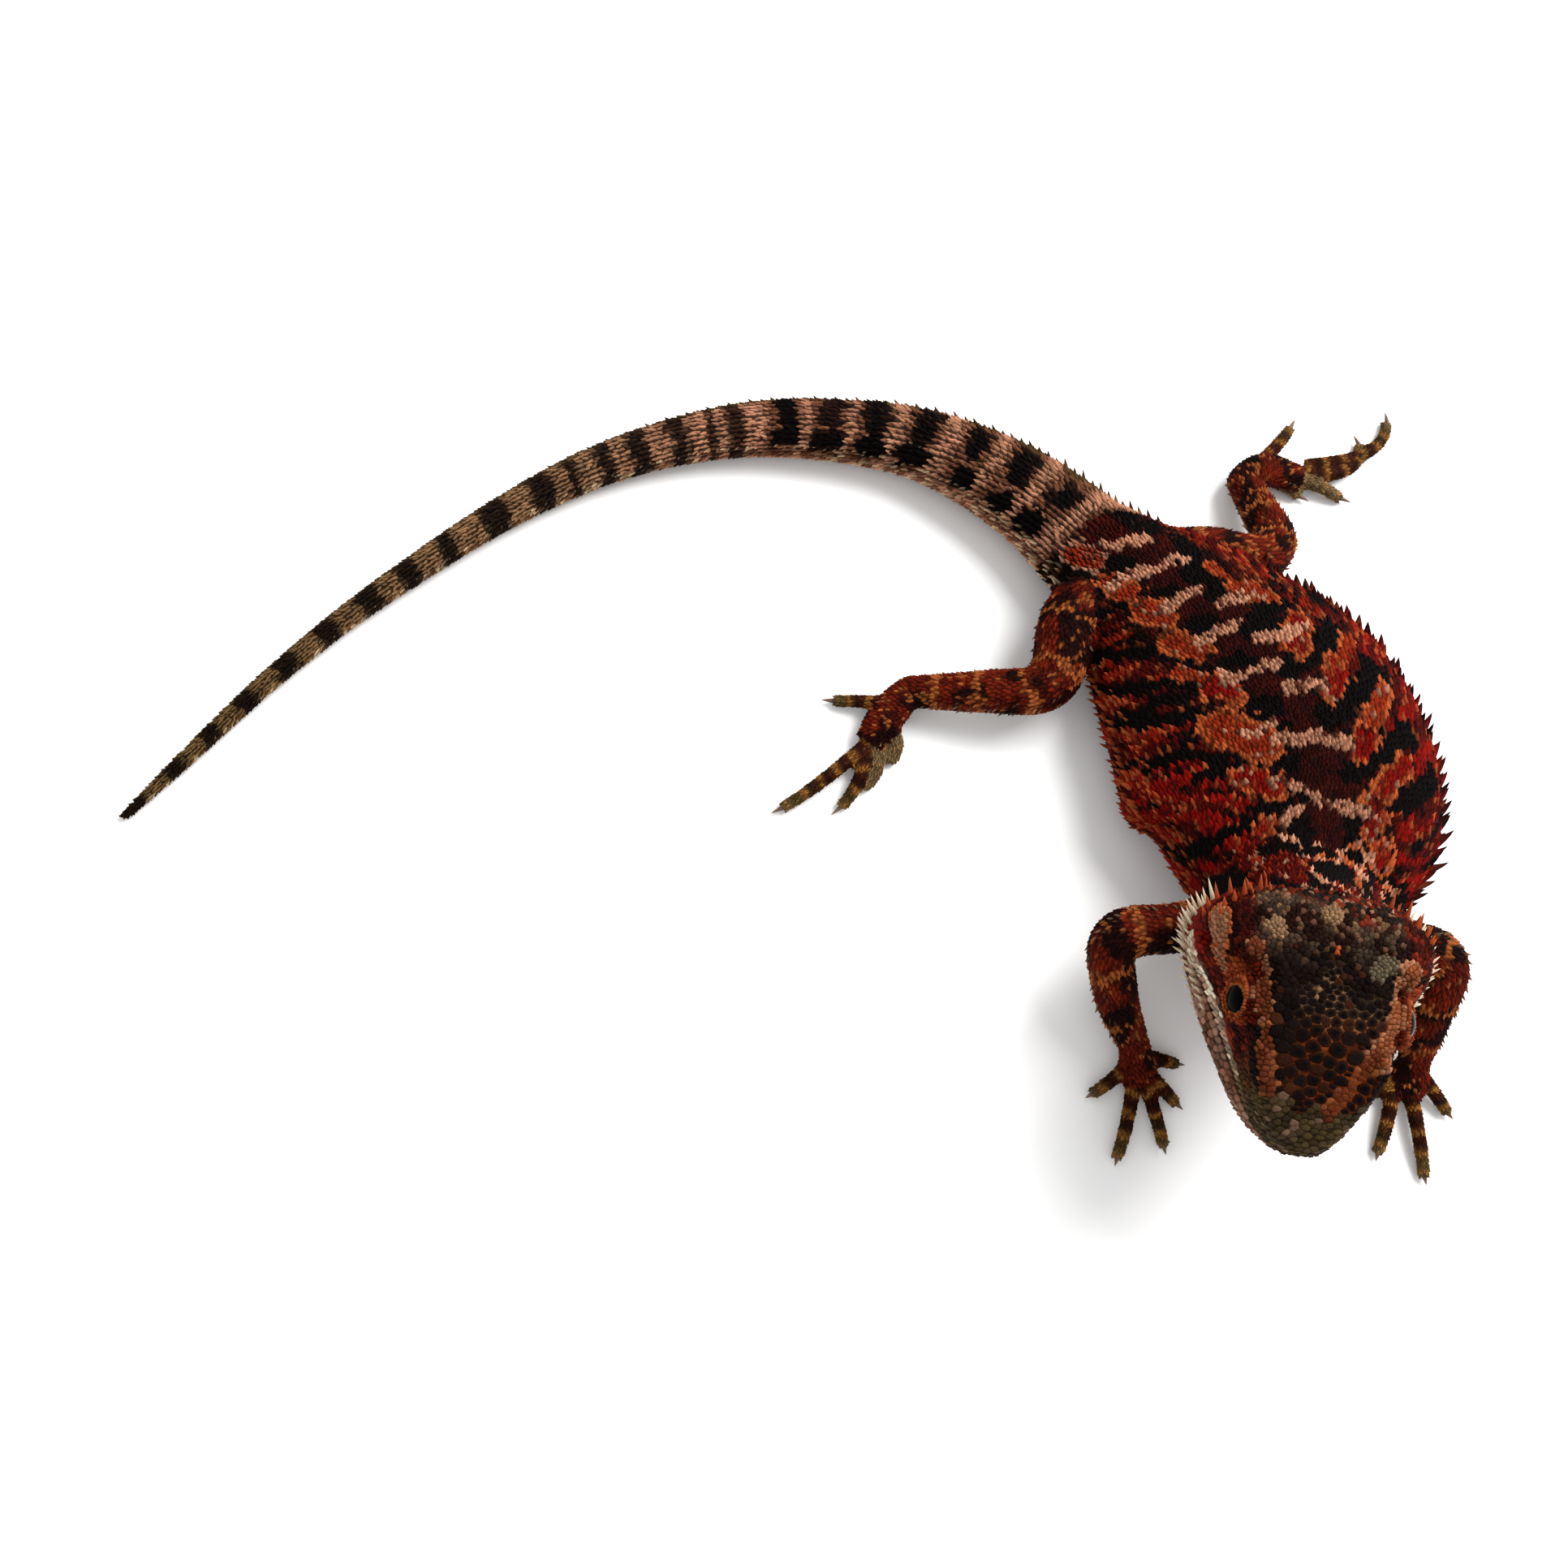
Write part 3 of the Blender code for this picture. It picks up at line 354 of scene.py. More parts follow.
def head_form():
    def sections(at, count, inset):
        rings = []
        for row in head_rows(at + HEAD_START):
            f, crown, brow_w, brow, temple_w, temple, cheek_w, cheek, lip_w, lip, jaw_w, jaw, throat = row
            half = ((0.0, crown), (brow_w * 0.55, crown * 0.8 + brow * 0.2), (brow_w, brow),
                    (temple_w, temple), (cheek_w, cheek), (lip_w, lip), (jaw_w, jaw),
                    (jaw_w * 0.55, jaw * 0.25 + throat * 0.75), (0.0, throat))
            loop = np.array(half + tuple((-w, u) for w, u in half[-2:0:-1]))
            middle = np.array((0.0, (crown + throat) / 2))
            loop = middle + (loop - middle) * (1 - inset / np.linalg.norm(loop - middle, axis=1, keepdims=True))
            around = np.vstack([loop[-2:], loop, loop[:3]])
            marks = chord_marks(around)
            at_ring = np.linspace(marks[2], marks[2 + len(loop)], count, endpoint=False)
            rings.append([head_point(w, f, u) for w, u in smooth_rows(around, at_ring)])
        return np.array(rings)

    ends = (head_point(0.0, OCCIPUT[0] + COAT_DEPTH, OCCIPUT[1]),
            head_point(0.0, SNOUT_TIP[0] - COAT_DEPTH, SNOUT_TIP[1]))
    return Form("head", sections, HEAD_SECTIONS[-1, 0] - HEAD_START,
                lambda at: np.tile(-HEAD_AHEAD, (len(at), 1)), ends)


def toe_path(x, y, heading, length, bend):
    """The middle of a toe from just inside the palm to the claw's root, and its last heading."""
    turn, bend = math.radians(heading), math.radians(bend) * 1.4
    step = (length + TOE_ROOT) / (TOE_JOINTS - 1)
    place = np.array((x, y)) - TOE_ROOT * np.array((math.sin(turn), -math.cos(turn)))
    rows = []
    for share in np.arange(TOE_JOINTS) / (TOE_JOINTS - 1):
        level = TOE_LEVEL + (TOE_END_LEVEL - TOE_LEVEL) * share**1.5 + TOE_ARCH * math.sin(math.pi * share)
        radius = TOE_RADIUS + (TOE_END_RADIUS - TOE_RADIUS) * share
        rows.append((*place, level, radius, radius * 0.92))
        here = turn + bend * share**2
        place = place + step * np.array((math.sin(here), -math.cos(here)))
    return rows, turn + bend


def all_forms():
    forms = [head_form(), body_form(), tube_form("neck", NECK_LINE, onward=-1)]
    forms += [tube_form(name, rows) for name, rows in LIMBS.items()]
    for name, (limb, palm, toes) in FEET.items():
        rows = LIMBS[limb][-2:] + palm
        forms.append(tube_form(name, rows, start=chord_marks(rows)[1] - 1.0))
        forms += [tube_form(f"{name}_toe_{i + 1}", toe_path(*toe)[0]) for i, toe in enumerate(toes)]
    return forms


# ---- The skin

def edges_of(loop):
    """The edges between a loop's vertices that don't yet have a face on both sides."""
    members = set(loop)
    return list(dict.fromkeys(edge for v in loop for edge in v.link_edges if edge.other_vert(v) in members
                              and len(edge.link_faces) < 2))


def bridge(bm, loops):
    for lower, upper in zip(loops, loops[1:]):
        bmesh.ops.bridge_loops(bm, edges=edges_of(lower) + edges_of(upper))


def close(bm, loop, tip):
    """A cap from a loop to one point."""
    grown = bmesh.ops.extrude_edge_only(bm, edges=edges_of(loop))["geom"]
    cap = [item for item in grown if isinstance(item, bmesh.types.BMVert)]
    bmesh.ops.pointmerge(bm, verts=cap, merge_co=Vector(tip))


def add_form(bm, form, spacing, count, inset):
    """Sections joined by bridges and closed at both ends, above the floor by the coat's depth."""
    at = np.linspace(0.0, form.length, max(5, round(form.length / spacing) + 1))
    rings = form.sections(at, count, inset)
    rings[..., 2] = np.maximum(rings[..., 2], COAT_DEPTH)
    loops = []
    for ring in rings:
        loops.append(bmesh.ops.create_circle(bm, segments=count, radius=1.0)["verts"])
        for vertex, place in zip(loops[-1], ring):
            vertex.co = place
    bridge(bm, loops)
    for loop, tip in zip((loops[0], loops[-1]), form.ends):
        close(bm, loop, np.mean([v.co for v in loop], axis=0) if tip is None else tip)


def remeshed(bm):
    """One closed skin over everything in the mesh."""
    bmesh.ops.recalc_face_normals(bm, faces=bm.faces[:])
    mesh = bpy.data.meshes.new("forms")
    bm.to_mesh(mesh)
    bm.free()
    rough = placed("forms", mesh)
    modifier = rough.modifiers.new("one_skin", "REMESH")
    modifier.mode = "VOXEL"
    modifier.voxel_size = VOXEL
    bpy.context.view_layer.update()
    result = bpy.data.meshes.new_from_object(rough.evaluated_get(bpy.context.evaluated_depsgraph_get()))
    bpy.data.objects.remove(rough)
    return result


def values_of(items, key, columns):
    """A value of all a mesh's vertices, edges or triangles as an array."""
    whole = key == "vertices"
    flat = np.empty(len(items) * columns, np.int32 if whole else np.float32)
    items.foreach_get(key, flat)
    return flat.reshape(-1, columns).astype(int if whole else float)


def points_of(mesh):
    return values_of(mesh.vertices, "co", 3)


def set_points(mesh, points):
    mesh.vertices.foreach_set("co", points.astype(np.float32).ravel())
    mesh.update()


def smoothed(mesh, points, share, turns):
    """Points drawn towards the middle of their neighbours, by a share that may differ for each."""
    edges = values_of(mesh.edges, "vertices", 2)
    ends, others = np.concatenate([edges, edges[:, ::-1]]).T
    count = np.bincount(ends, minlength=len(points))
    for _ in range(turns):
        middle = np.column_stack([np.bincount(ends, column[others], minlength=len(points))
                                  for column in points.T])
        points = points + (middle / count[:, None] - points) * share[:, None]
    return points


def refine_head(mesh):
    """Smaller faces on the crown and sides of the head, for what is pressed into them."""
    bm = bmesh.new()
    bm.from_mesh(mesh)
    chosen = set()
    for face in bm.faces:
        across, forward, height = head_coordinates(np.array(face.calc_center_median()))
        if 0 < forward < 42 and abs(across) < 23 and height > -19.5:
            chosen.update(face.edges)
    bmesh.ops.subdivide_edges(bm, edges=list(chosen), cuts=1, use_grid_fill=True)
    bmesh.ops.triangulate(bm, faces=[face for face in bm.faces if len(face.verts) > 4])
    bm.to_mesh(mesh)
    bm.free()


def carve_head(points, normals):
    """Eye sockets, ear hollows, nostrils, the line of the mouth and the ridges, in the skin."""
    local = head_coordinates(points)
    across, forward, height = local.T
    on_head = (forward > -2) & (height > -29) & (np.abs(across) < 24) & (forward < 42)
    depth = np.zeros(len(points))
    for side in (1, -1):
        depth += 1.2 * soft_step(1.0, 0.55, gap_to(local, side, EAR_CENTRE, (3.0, 1.9, 2.6)))
        depth += 0.9 * soft_step(1.0, 0.3, gap_to(local, side, NOSTRIL_CENTRE, 1.0))
    mouth = soft_step(0.55, 0.1, np.abs(height - lip_heights(forward)))
    depth = np.maximum(depth, 0.75 * mouth * soft_step(MOUTH_CORNER - 1, MOUTH_CORNER + 1, forward))
    for peak, reach, start, end in HEAD_RIDGES:
        start, run = np.array(start), np.subtract(end, start)
        for side in (1, -1):
            at = local * (side, 1, 1) - start
            t = np.clip(at @ run / (run @ run), 0, 1)
            gap = np.linalg.norm((at - t[:, None] * run) * (1, 1, 0.6), axis=1)
            depth -= peak * soft_step(reach, 0.2 * reach, gap)
    points = points - normals * (depth * on_head)[:, None]
    for side in (1, -1):
        middle = eye_frame(side)[0]
        angle, reach = eye_angles(points, side)
        lid = EYE_RADIUS + 0.42 - 0.25 * soft_step(46, 62, angle)
        lid = np.where(angle < EYE_OPENING, EYE_RADIUS - 0.7, lid)
        share = soft_step(92, 62, angle) * (reach < 9)
        wanted = reach * (1 - share) + lid * share
        points = middle + (points - middle) * (wanted / np.maximum(reach, 1e-6))[:, None]
    return points


def build_skin(forms):
    bm = bmesh.new()
    for form in forms:
        spacing, count, inset = (0.8, 12, 0.12) if "toe" in form.name else (1.6, 48, COAT_DEPTH)
        add_form(bm, form, spacing, count, inset)
    mesh = remeshed(bm)
    points = points_of(mesh)
    near = np.zeros(len(points))
    for middle, reach in BLENDS:
        near = np.maximum(near, soft_step(reach, reach * 0.4, np.linalg.norm(points - middle, axis=1)))
    palms = np.array([palm[-1][:2] for _, palm, _ in FEET.values()])
    toes = np.linalg.norm(points[:, None, :2] - palms, axis=2).min(axis=1) < 26
    toes &= points[:, 2] < 5.5
    points = smoothed(mesh, points, np.where(toes, 0.12, 0.5), 3)
    set_points(mesh, smoothed(mesh, points, near * 0.6, 36))
    refine_head(mesh)
    points = points_of(mesh)
    on_head = (head_coordinates(points)[:, 1] > 1) & (points[:, 2] > 20)
    set_points(mesh, smoothed(mesh, points, np.where(on_head, 0.4, 0.0), 2))
    points = carve_head(points_of(mesh), values_of(mesh.vertices, "normal", 3))
    points[:, 2] = np.maximum(points[:, 2], 0.05)
    set_points(mesh, points)
    return mesh


# ---- Where the scales stand

ROSETTE_GRAIN = 0.55


class Coat:
    """The roots of all the scales, with the lie of the coat and the place on the body of each."""

    KEYS = ("form", "root", "normal", "flow", "along", "across", "share", "width", "length", "radius")
    CELL = 2.5

    def __init__(self, skin):
        self.mesh = skin
        faces = [tuple(face.vertices) for face in skin.polygons]
        self.surface = BVHTree.FromPolygons(points_of(skin).tolist(), faces)
        self.rows = {key: [] for key in self.KEYS}
        self.cells = {}

    def crowded(self, root, room):
        cx, cy, cz = (math.floor(c / self.CELL) for c in root)
        for dx, dy, dz in product((-1, 0, 1), repeat=3):
            for x, y, z, other in self.cells.get((cx + dx, cy + dy, cz + dz), ()):
                gap = (x - root[0]) ** 2 + (y - root[1]) ** 2 + (z - root[2]) ** 2
                if gap < ((room + other) / 2) ** 2:
                    return True
        return False

    def add(self, form, place, flow, along, across, share, width, length, radius, room, far=1.3):
        """A scale on the skin nearest to a place, unless that is too far away or has no room left."""
        root, normal, _, gap = self.surface.find_nearest(Vector(place))
        if root is None or gap > far or self.crowded(root, room):
            return
        cell = tuple(math.floor(c / self.CELL) for c in root)
        self.cells.setdefault(cell, []).append((*root, room))
        values = (form, tuple(root), tuple(normal), tuple(flow), along, across, share, width, length, radius)
        for key, value in zip(self.KEYS, values):
            self.rows[key].append(value)

    def close(self):
        """Turns the rows into arrays, with each scale lying flat along the skin."""
        self.form = np.array(self.rows["form"])
        for key in self.KEYS[1:]:
            setattr(self, key, np.array(self.rows[key], float))
        self.flow = unit(self.flow - self.normal * np.sum(self.flow * self.normal, axis=1, keepdims=True))
        self.draw = RNG.random((len(self.root), 3))
        self.tree = tree_of(self.root)


def ring_at(form, at, count):
    """A form's closed section at one place, and the distances round it."""
    ring = form.sections(np.array([at]), count, COAT_DEPTH)[0]
    closed = np.vstack([ring, ring[:1]])
    return closed, chord_marks(closed)


def on_ring(closed, marks, across):
    """Places on a section at distances round it."""
    return np.stack([np.interp(across % marks[-1], marks, closed[:, k]) for k in range(3)], axis=-1)


def row_distances(half_length, widths, phase):
    """Distances from the midline of a row's scales, each one its own width from the last."""
    out = [phase * widths(0.0)]
    while out[-1] < half_length:
        out.append(out[-1] + widths(out[-1]))
    right = np.array(out[:-1])
    left = -right if phase else -right[1:]
    return np.concatenate([right, left])


def lay_rows(coat, form):
    """Rows of scales round a form, each row half a scale on from the last unless they run in lines."""
    at, i = 0.4, 0
    while at < form.length:
        widths, gap, lines = scale_sizes(form, at)
        closed, marks = ring_at(form, at, 96)
        perimeter = marks[-1]
        flow = form.flow(np.array([at]))[0]
        for d in row_distances(perimeter / 2, widths, 0.0 if lines else 0.5 * (i % 2)):
            width = widths(abs(d))
            across = d + RNG.uniform(-0.28, 0.28) * width * (0.25 if lines else 1)
            along = at + RNG.uniform(-0.33, 0.33) * gap
            place = on_ring(closed, marks, across) + flow * (along - at)
            coat.add(form.name, place, flow, along, across, 2 * d / perimeter,
                     width, max(gap, width), perimeter / (2 * math.pi), 0.62 * min(width, gap))
        at += gap
        i += 1


def add_plate(coat, form, place, along, across, perimeter, size, far=1.3):
    coat.add("head", place, form.flow([0])[0], along, across, 2 * across / perimeter, size, size,
             perimeter / (2 * math.pi), size * 0.9, far)


def add_small_plate(coat, form, local, size):
    """A plate at a place in the head's own frame."""
    along = float(np.clip(local[1] - HEAD_START, 0.0, form.length))
    closed, marks = ring_at(form, along, 180)
    place = head_point(*local)
    distance = marks[np.argmin(np.linalg.norm(closed - place, axis=1))]
    if distance > marks[-1] / 2:
        distance -= marks[-1]
    add_plate(coat, form, place, along, float(distance), marks[-1], size, 1.6)


def lay_lips(coat, form):
    """Plates along both lips, and small grains round the eyes' openings."""
    for side in (1, -1):
        for above, step in ((0.8, 1.15), (-0.85, 1.35), (1.8, 1.1)):
            forward = MOUTH_CORNER + 0.3 * above
            while forward < 39.0:
                row = head_rows([forward])[0]
                local = (side * row[8], forward, row[9] + above)
                add_small_plate(coat, form, local, step * (1.0 - 0.003 * forward))
                forward += step * 0.97
        for off, size in ((42, 0.5), (48, 0.56), (55, 0.64), (63, 0.72)):
            count = round(2 * math.pi * 5 * math.sin(math.radians(off)) / size)
            for i in range(count):
                place = eye_place(side, 2 * math.pi * i / count, math.radians(off), EYE_RADIUS + 0.6)
                add_small_plate(coat, form, head_coordinates(place), size)


def head_plate_sizes(along, across):
    """How wide the head's scales are: plates on the crown and snout, grains on ridges and at the rear."""
    side = np.abs(across)
    size = 0.72 + 0.3 * soft_step(9, 16, along)
    crown = 1.0 + 1.0 * soft_step(16, 25, along) - 0.9 * soft_step(33, 36, along)
    size = np.where((side < 10.0 - 0.12 * np.maximum(along - 12, 0)) & (along > 12), crown, size)
    size = np.where((side > 8.5) & (side < 14), np.minimum(size, 0.72), size)
    size = np.where(side > 14, 0.9, size)
    size = np.where(side > 22, 1.1, size)
    for name, _, marks in HEAD_MARKS:
        for reach, *path in marks:
            near = path_distance(along, across, path) < reach * 1.3
            grain = ROSETTE_GRAIN if name in ("rosette", "slate") else 0.68 if path[0] < 24 else 1.05
            size = np.where(near, np.minimum(size, grain), size)
    return size


def lay_head(coat, form):
    """Irregular plates over the head, the widest first, with room for each."""
    spots, step = [], 0.42
    for along in np.arange(0.3, form.length, step):
        closed, marks = ring_at(form, along, 96)
        across = np.arange(-marks[-1] / 2, marks[-1] / 2, step)
        across = across + RNG.uniform(-0.2, 0.2, len(across))
        sizes = head_plate_sizes(np.full(len(across), along), across)
        spots += [(size, draw, place, along, distance, marks[-1]) for size, draw, place, distance
                  in zip(sizes, RNG.random(len(across)), on_ring(closed, marks, across), across)]
    spots.sort(key=lambda spot: (-round(spot[0], 1), spot[1]))
    for size, _, place, along, across, perimeter in spots:
        if not bare(head_coordinates(place)):
            add_plate(coat, form, place, along, across, perimeter, size)


def fill_gaps(coat, tries):
    """More scales wherever the rows leave bare skin, like their neighbours."""
    coat.mesh.calc_loop_triangles()
    t = points_of(coat.mesh)[values_of(coat.mesh.loop_triangles, "vertices", 3)]
    areas = np.linalg.norm(np.cross(t[:, 1] - t[:, 0], t[:, 2] - t[:, 0]), axis=1)
    t = t[RNG.choice(len(t), tries, p=areas / areas.sum())]
    u, v = RNG.random((2, tries, 1))
    flip = u + v > 1
    u, v = np.where(flip, 1 - u, u), np.where(flip, 1 - v, v)
    places = t[:, 0] + (t[:, 1] - t[:, 0]) * u + (t[:, 2] - t[:, 0]) * v
    tree = tree_of(coat.rows["root"])
    for place in places:
        _, i, gap = tree.find(place)
        like = {key: coat.rows[key][i] for key in coat.KEYS}
        if place[2] < 0.5 or gap < 0.7 * like["width"] or bare(head_coordinates(place)):
            continue
        shift = place - np.array(like["root"])
        onward = -1 if like["form"] in ("head", "neck") else 1
        along = like["along"] + onward * float(np.dot(shift, like["flow"]))
        across = like["across"] + float(np.dot(shift, np.cross(like["normal"], like["flow"])))
        coat.add(like["form"], place, like["flow"], along, across, like["share"], like["width"],
                 like["length"], like["radius"], 0.76 * like["width"])


VENT_AT = chord_marks(BODY_LINE)[VENT]
TRUNK_END = 95.0

# The width and the rows' gap of scales on forms whose names hold these words, the first that fits.
SCALE_SIZES = (("neck", (1.0, 0.92)), ("toe", (0.6, 0.56)), ("hand", (0.8, 0.74)), ("foot", (0.8, 0.74)))


def scale_sizes(form, at):
    """At a place along a form: its scales' width out from the midline, the rows' gap, and if in lines."""
    if form.name == "body" and at < VENT_AT:
        return lambda d: 0.82 + 0.16 * soft_step(3, 7, d) + 0.3 * soft_step(11, 20, d), 0.88, False
    if form.name == "body":
        share = (at - VENT_AT) / (form.length - VENT_AT)
        width = (1.15, 1.0, 0.82, 0.64)[min(3, int(share * 4))]
        return lambda d: width, 1.5 - 0.65 * share, True
    slim = 1.08 - 0.2 * at / form.length
    sizes = [size for word, size in SCALE_SIZES if word in form.name] + [(slim, slim * 0.95)]
    return lambda d: sizes[0][0], sizes[0][1], False


def bare(local):
    """Whether a place in the head's own frame has no scales: inside the eyes, ears and nostrils."""
    for side in (1, -1):
        angle, reach = eye_angles(head_point(*local), side)
        if (angle < EYE_OPENING + 2 and reach < 8 or gap_to(local, side, EAR_CENTRE, (3.0, 1.5, 2.2)) < 1
                or gap_to(local, side, NOSTRIL_CENTRE, 0.85) < 1):
            return True
    return False


# ---- Colours, markings and painted shade

def paint(red, green, blue):
    """A colour as the eye names it, from 0 to 255, made linear."""
    c = np.array((red, green, blue)) / 255.0
    return np.where(c <= 0.04045, c / 12.92, ((c + 0.055) / 1.055) ** 2.4)


PAINTS = {name: paint(*tone) for name, tone in {
    "black": (7, 3, 3), "maroon": (52, 9, 4), "red": (104, 8, 3), "deep_red": (66, 4, 2),
    "rust": (116, 32, 9), "orange": (148, 70, 34), "bright_orange": (152, 68, 22), "bead": (168, 116, 90),
    "rose": (144, 98, 76), "tan": (122, 90, 62), "brown": (66, 32, 14), "dark": (28, 12, 7),
    "crown": (20, 11, 8), "olive": (84, 66, 34), "grey": (66, 52, 40), "bone": (212, 198, 172),
    "gold": (146, 96, 42), "cream": (176, 150, 116), "blood": (106, 20, 12), "ridge": (138, 92, 66),
    "ridge_dark": (88, 40, 20), "rosette": (128, 98, 70), "amber": (122, 66, 36), "slate": (92, 80, 62),
    "throat": (116, 88, 72), "belly": (140, 110, 88), "sole": (130, 108, 74),
}.items()}

# Marks on the trunk and tail, painted in this order: the rim's colour and the heart's colour, then for
# each mark its reach from its path, and the path's points as pairs: the distance along the body from the
# breast, and the distance round from the backbone, positive on the animal's right.
BODY_MARKS = (
    # black patches between the rows
    ("black", "black", ((2.2, 15, -4, 16.5, 4), (1.8, 18, -12, 16, -22), (1.9, 22.5, -4.3, 27.5, -4),
        (2.0, 22, 5.5, 27, 5.6), (1.6, 31, -11, 33, -19, 35, -26), (1.2, 32.6, 4.4, 33, 5),
        (2.0, 29, 13, 33, 10.5), (1.8, 36, -5, 38, -11, 41, -21), (2.6, 40, 5.5, 41, 12, 43, 20),
        (2.0, 46, -5, 47, -13, 50, -20), (1.5, 46.5, 3.5, 47, 4.2), (2.0, 52, 3, 54, 8),
        (1.9, 56, -3.5, 56.5, -11, 58, -18), (1.7, 61.5, 1.6, 63, 3.6), (2.2, 65.5, -4, 67, -13),
        (1.6, 71, 1, 73, 3.6), (1.8, 75, -4, 77, -7), (1.5, 80.5, 1.4, 81.5, 3.4),
        (1.9, 80.5, -3.5, 83, -8, 87, -10), (1.7, 91, 2.5, 95, 5), (1.1, 27.5, 10.5, 22.5, 19, 19.5, 28),
        (1.1, 46, 16, 52, 21, 54, 29), (1.1, 58, 15, 63, 22, 68, 30), (1.1, 66, 13, 70, 20, 76, 29),
        (1.1, 74, 12.5, 80, 20, 84, 27), (1.1, 86, 12, 91, 17, 95, 22))),
    # blotches left of the backbone
    ("orange", "red", ((2.9, 21.5, -9, 24, -9.5), (2.6, 27.5, -8, 31, -9), (1.9, 33, -10.5, 36.5, -18),
        (2.4, 39.5, -8.5, 43, -13))),
    ("orange", "rust", ((1.6, 43.5, -13, 46, -20),)),
    ("orange", "red", ((2.3, 49.5, -9, 52.5, -13.5),)),
    ("orange", "rust", ((1.4, 53, -15, 55, -20),)),
    ("orange", "red", ((2.6, 59.5, -9.5, 61.5, -13),)),
    ("orange", "rust", ((2.4, 69, -12.5, 73.5, -8.5), (1.4, 76, -9.5, 79, -8.5))),
    # blotches right of the backbone
    ("orange", "red", ((2.0, 16.5, 8, 19, 11), (1.7, 24.5, 12.5, 27, 11), (3.6, 35, 10, 38.5, 13.5))),
    ("orange", "rust", ((3.6, 44.5, 9, 50, 10.5, 53.5, 13),)),
    ("orange", "red", ((3.0, 58.5, 8, 62, 9.5),)),
    ("orange", "rust", ((1.6, 64.5, 10, 67, 12), (2.5, 68.5, 6.5, 72.5, 8.5), (2.6, 78, 6.5, 82, 7.5),
        (2.2, 86, 7, 90.5, 7.5))),
    ("rose", "rust", ((2.5, 95.5, 5.5, 99.5, 6.8),)),
    # rows of pale beads across the back
    ("bead", "maroon", ((0.9, 22, -7.5, 19.5, -5.2, 20.6, -3, 20.6, 4, 18.6, 5.5, 17.8, 8),
        (0.75, 21, 6, 23.2, 8), (0.7, 14.5, -5, 13.2, -2, 15.4, 3),
        (0.95, 29.4, -8, 30.4, -2, 31.2, 1.5, 33.5, 3.5, 37, 9.5), (0.95, 30, 5, 28.5, 8, 26, 9),
        (1.0, 40.4, -7, 42.6, -3, 44, 2, 45.5, 6), (0.8, 49.4, 4.6, 48.5, 8, 50.3, 11),
        (0.95, 50.8, -8, 52, -5, 53.4, -1), (0.95, 58.4, -2.5, 59.4, 2, 60.2, 6, 62.5, 6.5),
        (1.0, 60.5, -13, 61.4, -8.5, 63.8, -3.2), (0.95, 68.2, -2.8, 69.5, 3.8, 70, 6),
        (0.95, 71.5, -8.5, 73.3, -3), (0.95, 77.6, -2.6, 78.8, 3.2, 79, 5),
        (0.95, 83.2, -6.5, 85.5, -3, 85.6, 0, 89, 3.8, 89.6, 8), (0.95, 91, -5.5, 93, -1.5, 96, 2))),
    # dark bands and side spots of the tail
    ("dark", "black", ((2.4, 107.6, -2.2, 108.6, 0.4), (2.4, 118, -3, 118.4, 1.2),
        (2.2, 128, -3.4, 128.2, 0.6), (2.2, 138, -4.4, 138.6, 0.6), (2.0, 148.4, -5, 148.6, 2.8),
        (2.0, 156.4, 4.4, 159.4, 4.8))),
    ("black", "black", ((2.4, 110, 7.2, 110.8, 8), (2.2, 118.4, 6.6, 118.8, 7.8),
        (2.1, 127.4, 6.2, 127.8, 7.2), (1.9, 138.8, 5.4, 141, 5.6), (1.9, 148, 5, 150.4, 5.4),
        (1.7, 166, -5, 166, 0.6), (1.8, 165.4, 3.9, 167.8, 4.1))),
    ("dark", "dark", ((2.2, 156.6, -4.5, 157.4, 0),)),
)
# Dark bands right round the tail further back: from and to.
TAIL_BANDS = ((174.5, 178.0), (180.0, 182.0), (186.0, 189.5), (194.0, 198.0), (201.5, 204.5), (209.0, 211.0),
              (214.5, 219.5), (224.5, 230.0), (236.5, 240.0), (245.5, 249.0), (254.0, 258.5), (264.0, 268.5),
              (274.0, 278.5), (284.0, 288.0), (293.5, 297.5), (302.0, 306.5), (311.0, 320.0))

# Brown saddles that run on down from the dark blotches to the spots below.
SADDLES = np.array((108.3, 118.4, 128.0, 138.6, 148.6, 157.2, 166.2))

# Marks on the head in the same way, from the occiput forward and round from the crown's middle.
HEAD_MARKS = (
    ("rosette", "rosette", ((1.4, 4.9, 0.3, 5.2, 0.7), (1.35, 7.8, 9.4, 8.8, 8.7))),
    ("slate", "slate", ((1.5, 12.0, -8.4, 13.4, -7.2),)),
    ("orange", "orange", ((0.5, 10.6, -0.4, 11, -0.3),)),
    ("tan", "tan", ((0.45, 15.8, 1.8, 19, 2),)),
    ("ridge", "amber", ((2.2, 12.5, -13.2, 18.5, -12.2, 22.5, -11.0, 26, -9.0),)),
    ("amber", "ridge_dark", ((1.3, 26.5, -8.2, 31.5, -5, 34.5, -3.4, 36, -2.6),)),
    ("ridge", "ridge_dark", ((1.35, 11.4, 12.2, 14, 11.7, 17, 11.1, 21, 10.2, 24.5, 9.6),)),
    ("amber", "ridge_dark", ((1.3, 25, 9.4, 29, 8.9, 31, 8.2, 33.5, 7.2),)),
    ("orange", "ridge", ((2.4, 7.4, 19.3, 11.0, 20.0), (1.2, 12.5, 20.4, 15, 21.0))),
)


def path_distance(along, across, path):
    """How far places on the unrolled body are from a line through the path's points."""
    best = np.full(len(along), 1e9)
    points = np.reshape(path, (-1, 2))
    for (a0, d0), (a1, d1) in zip(points, points[1:]):
        da, dd = a1 - a0, d1 - d0
        t = np.clip(((along - a0) * da + (across - d0) * dd) / (da * da + dd * dd + 1e-9), 0, 1)
        best = np.minimum(best, np.hypot(along - a0 - da * t, across - d0 - dd * t))
    return best


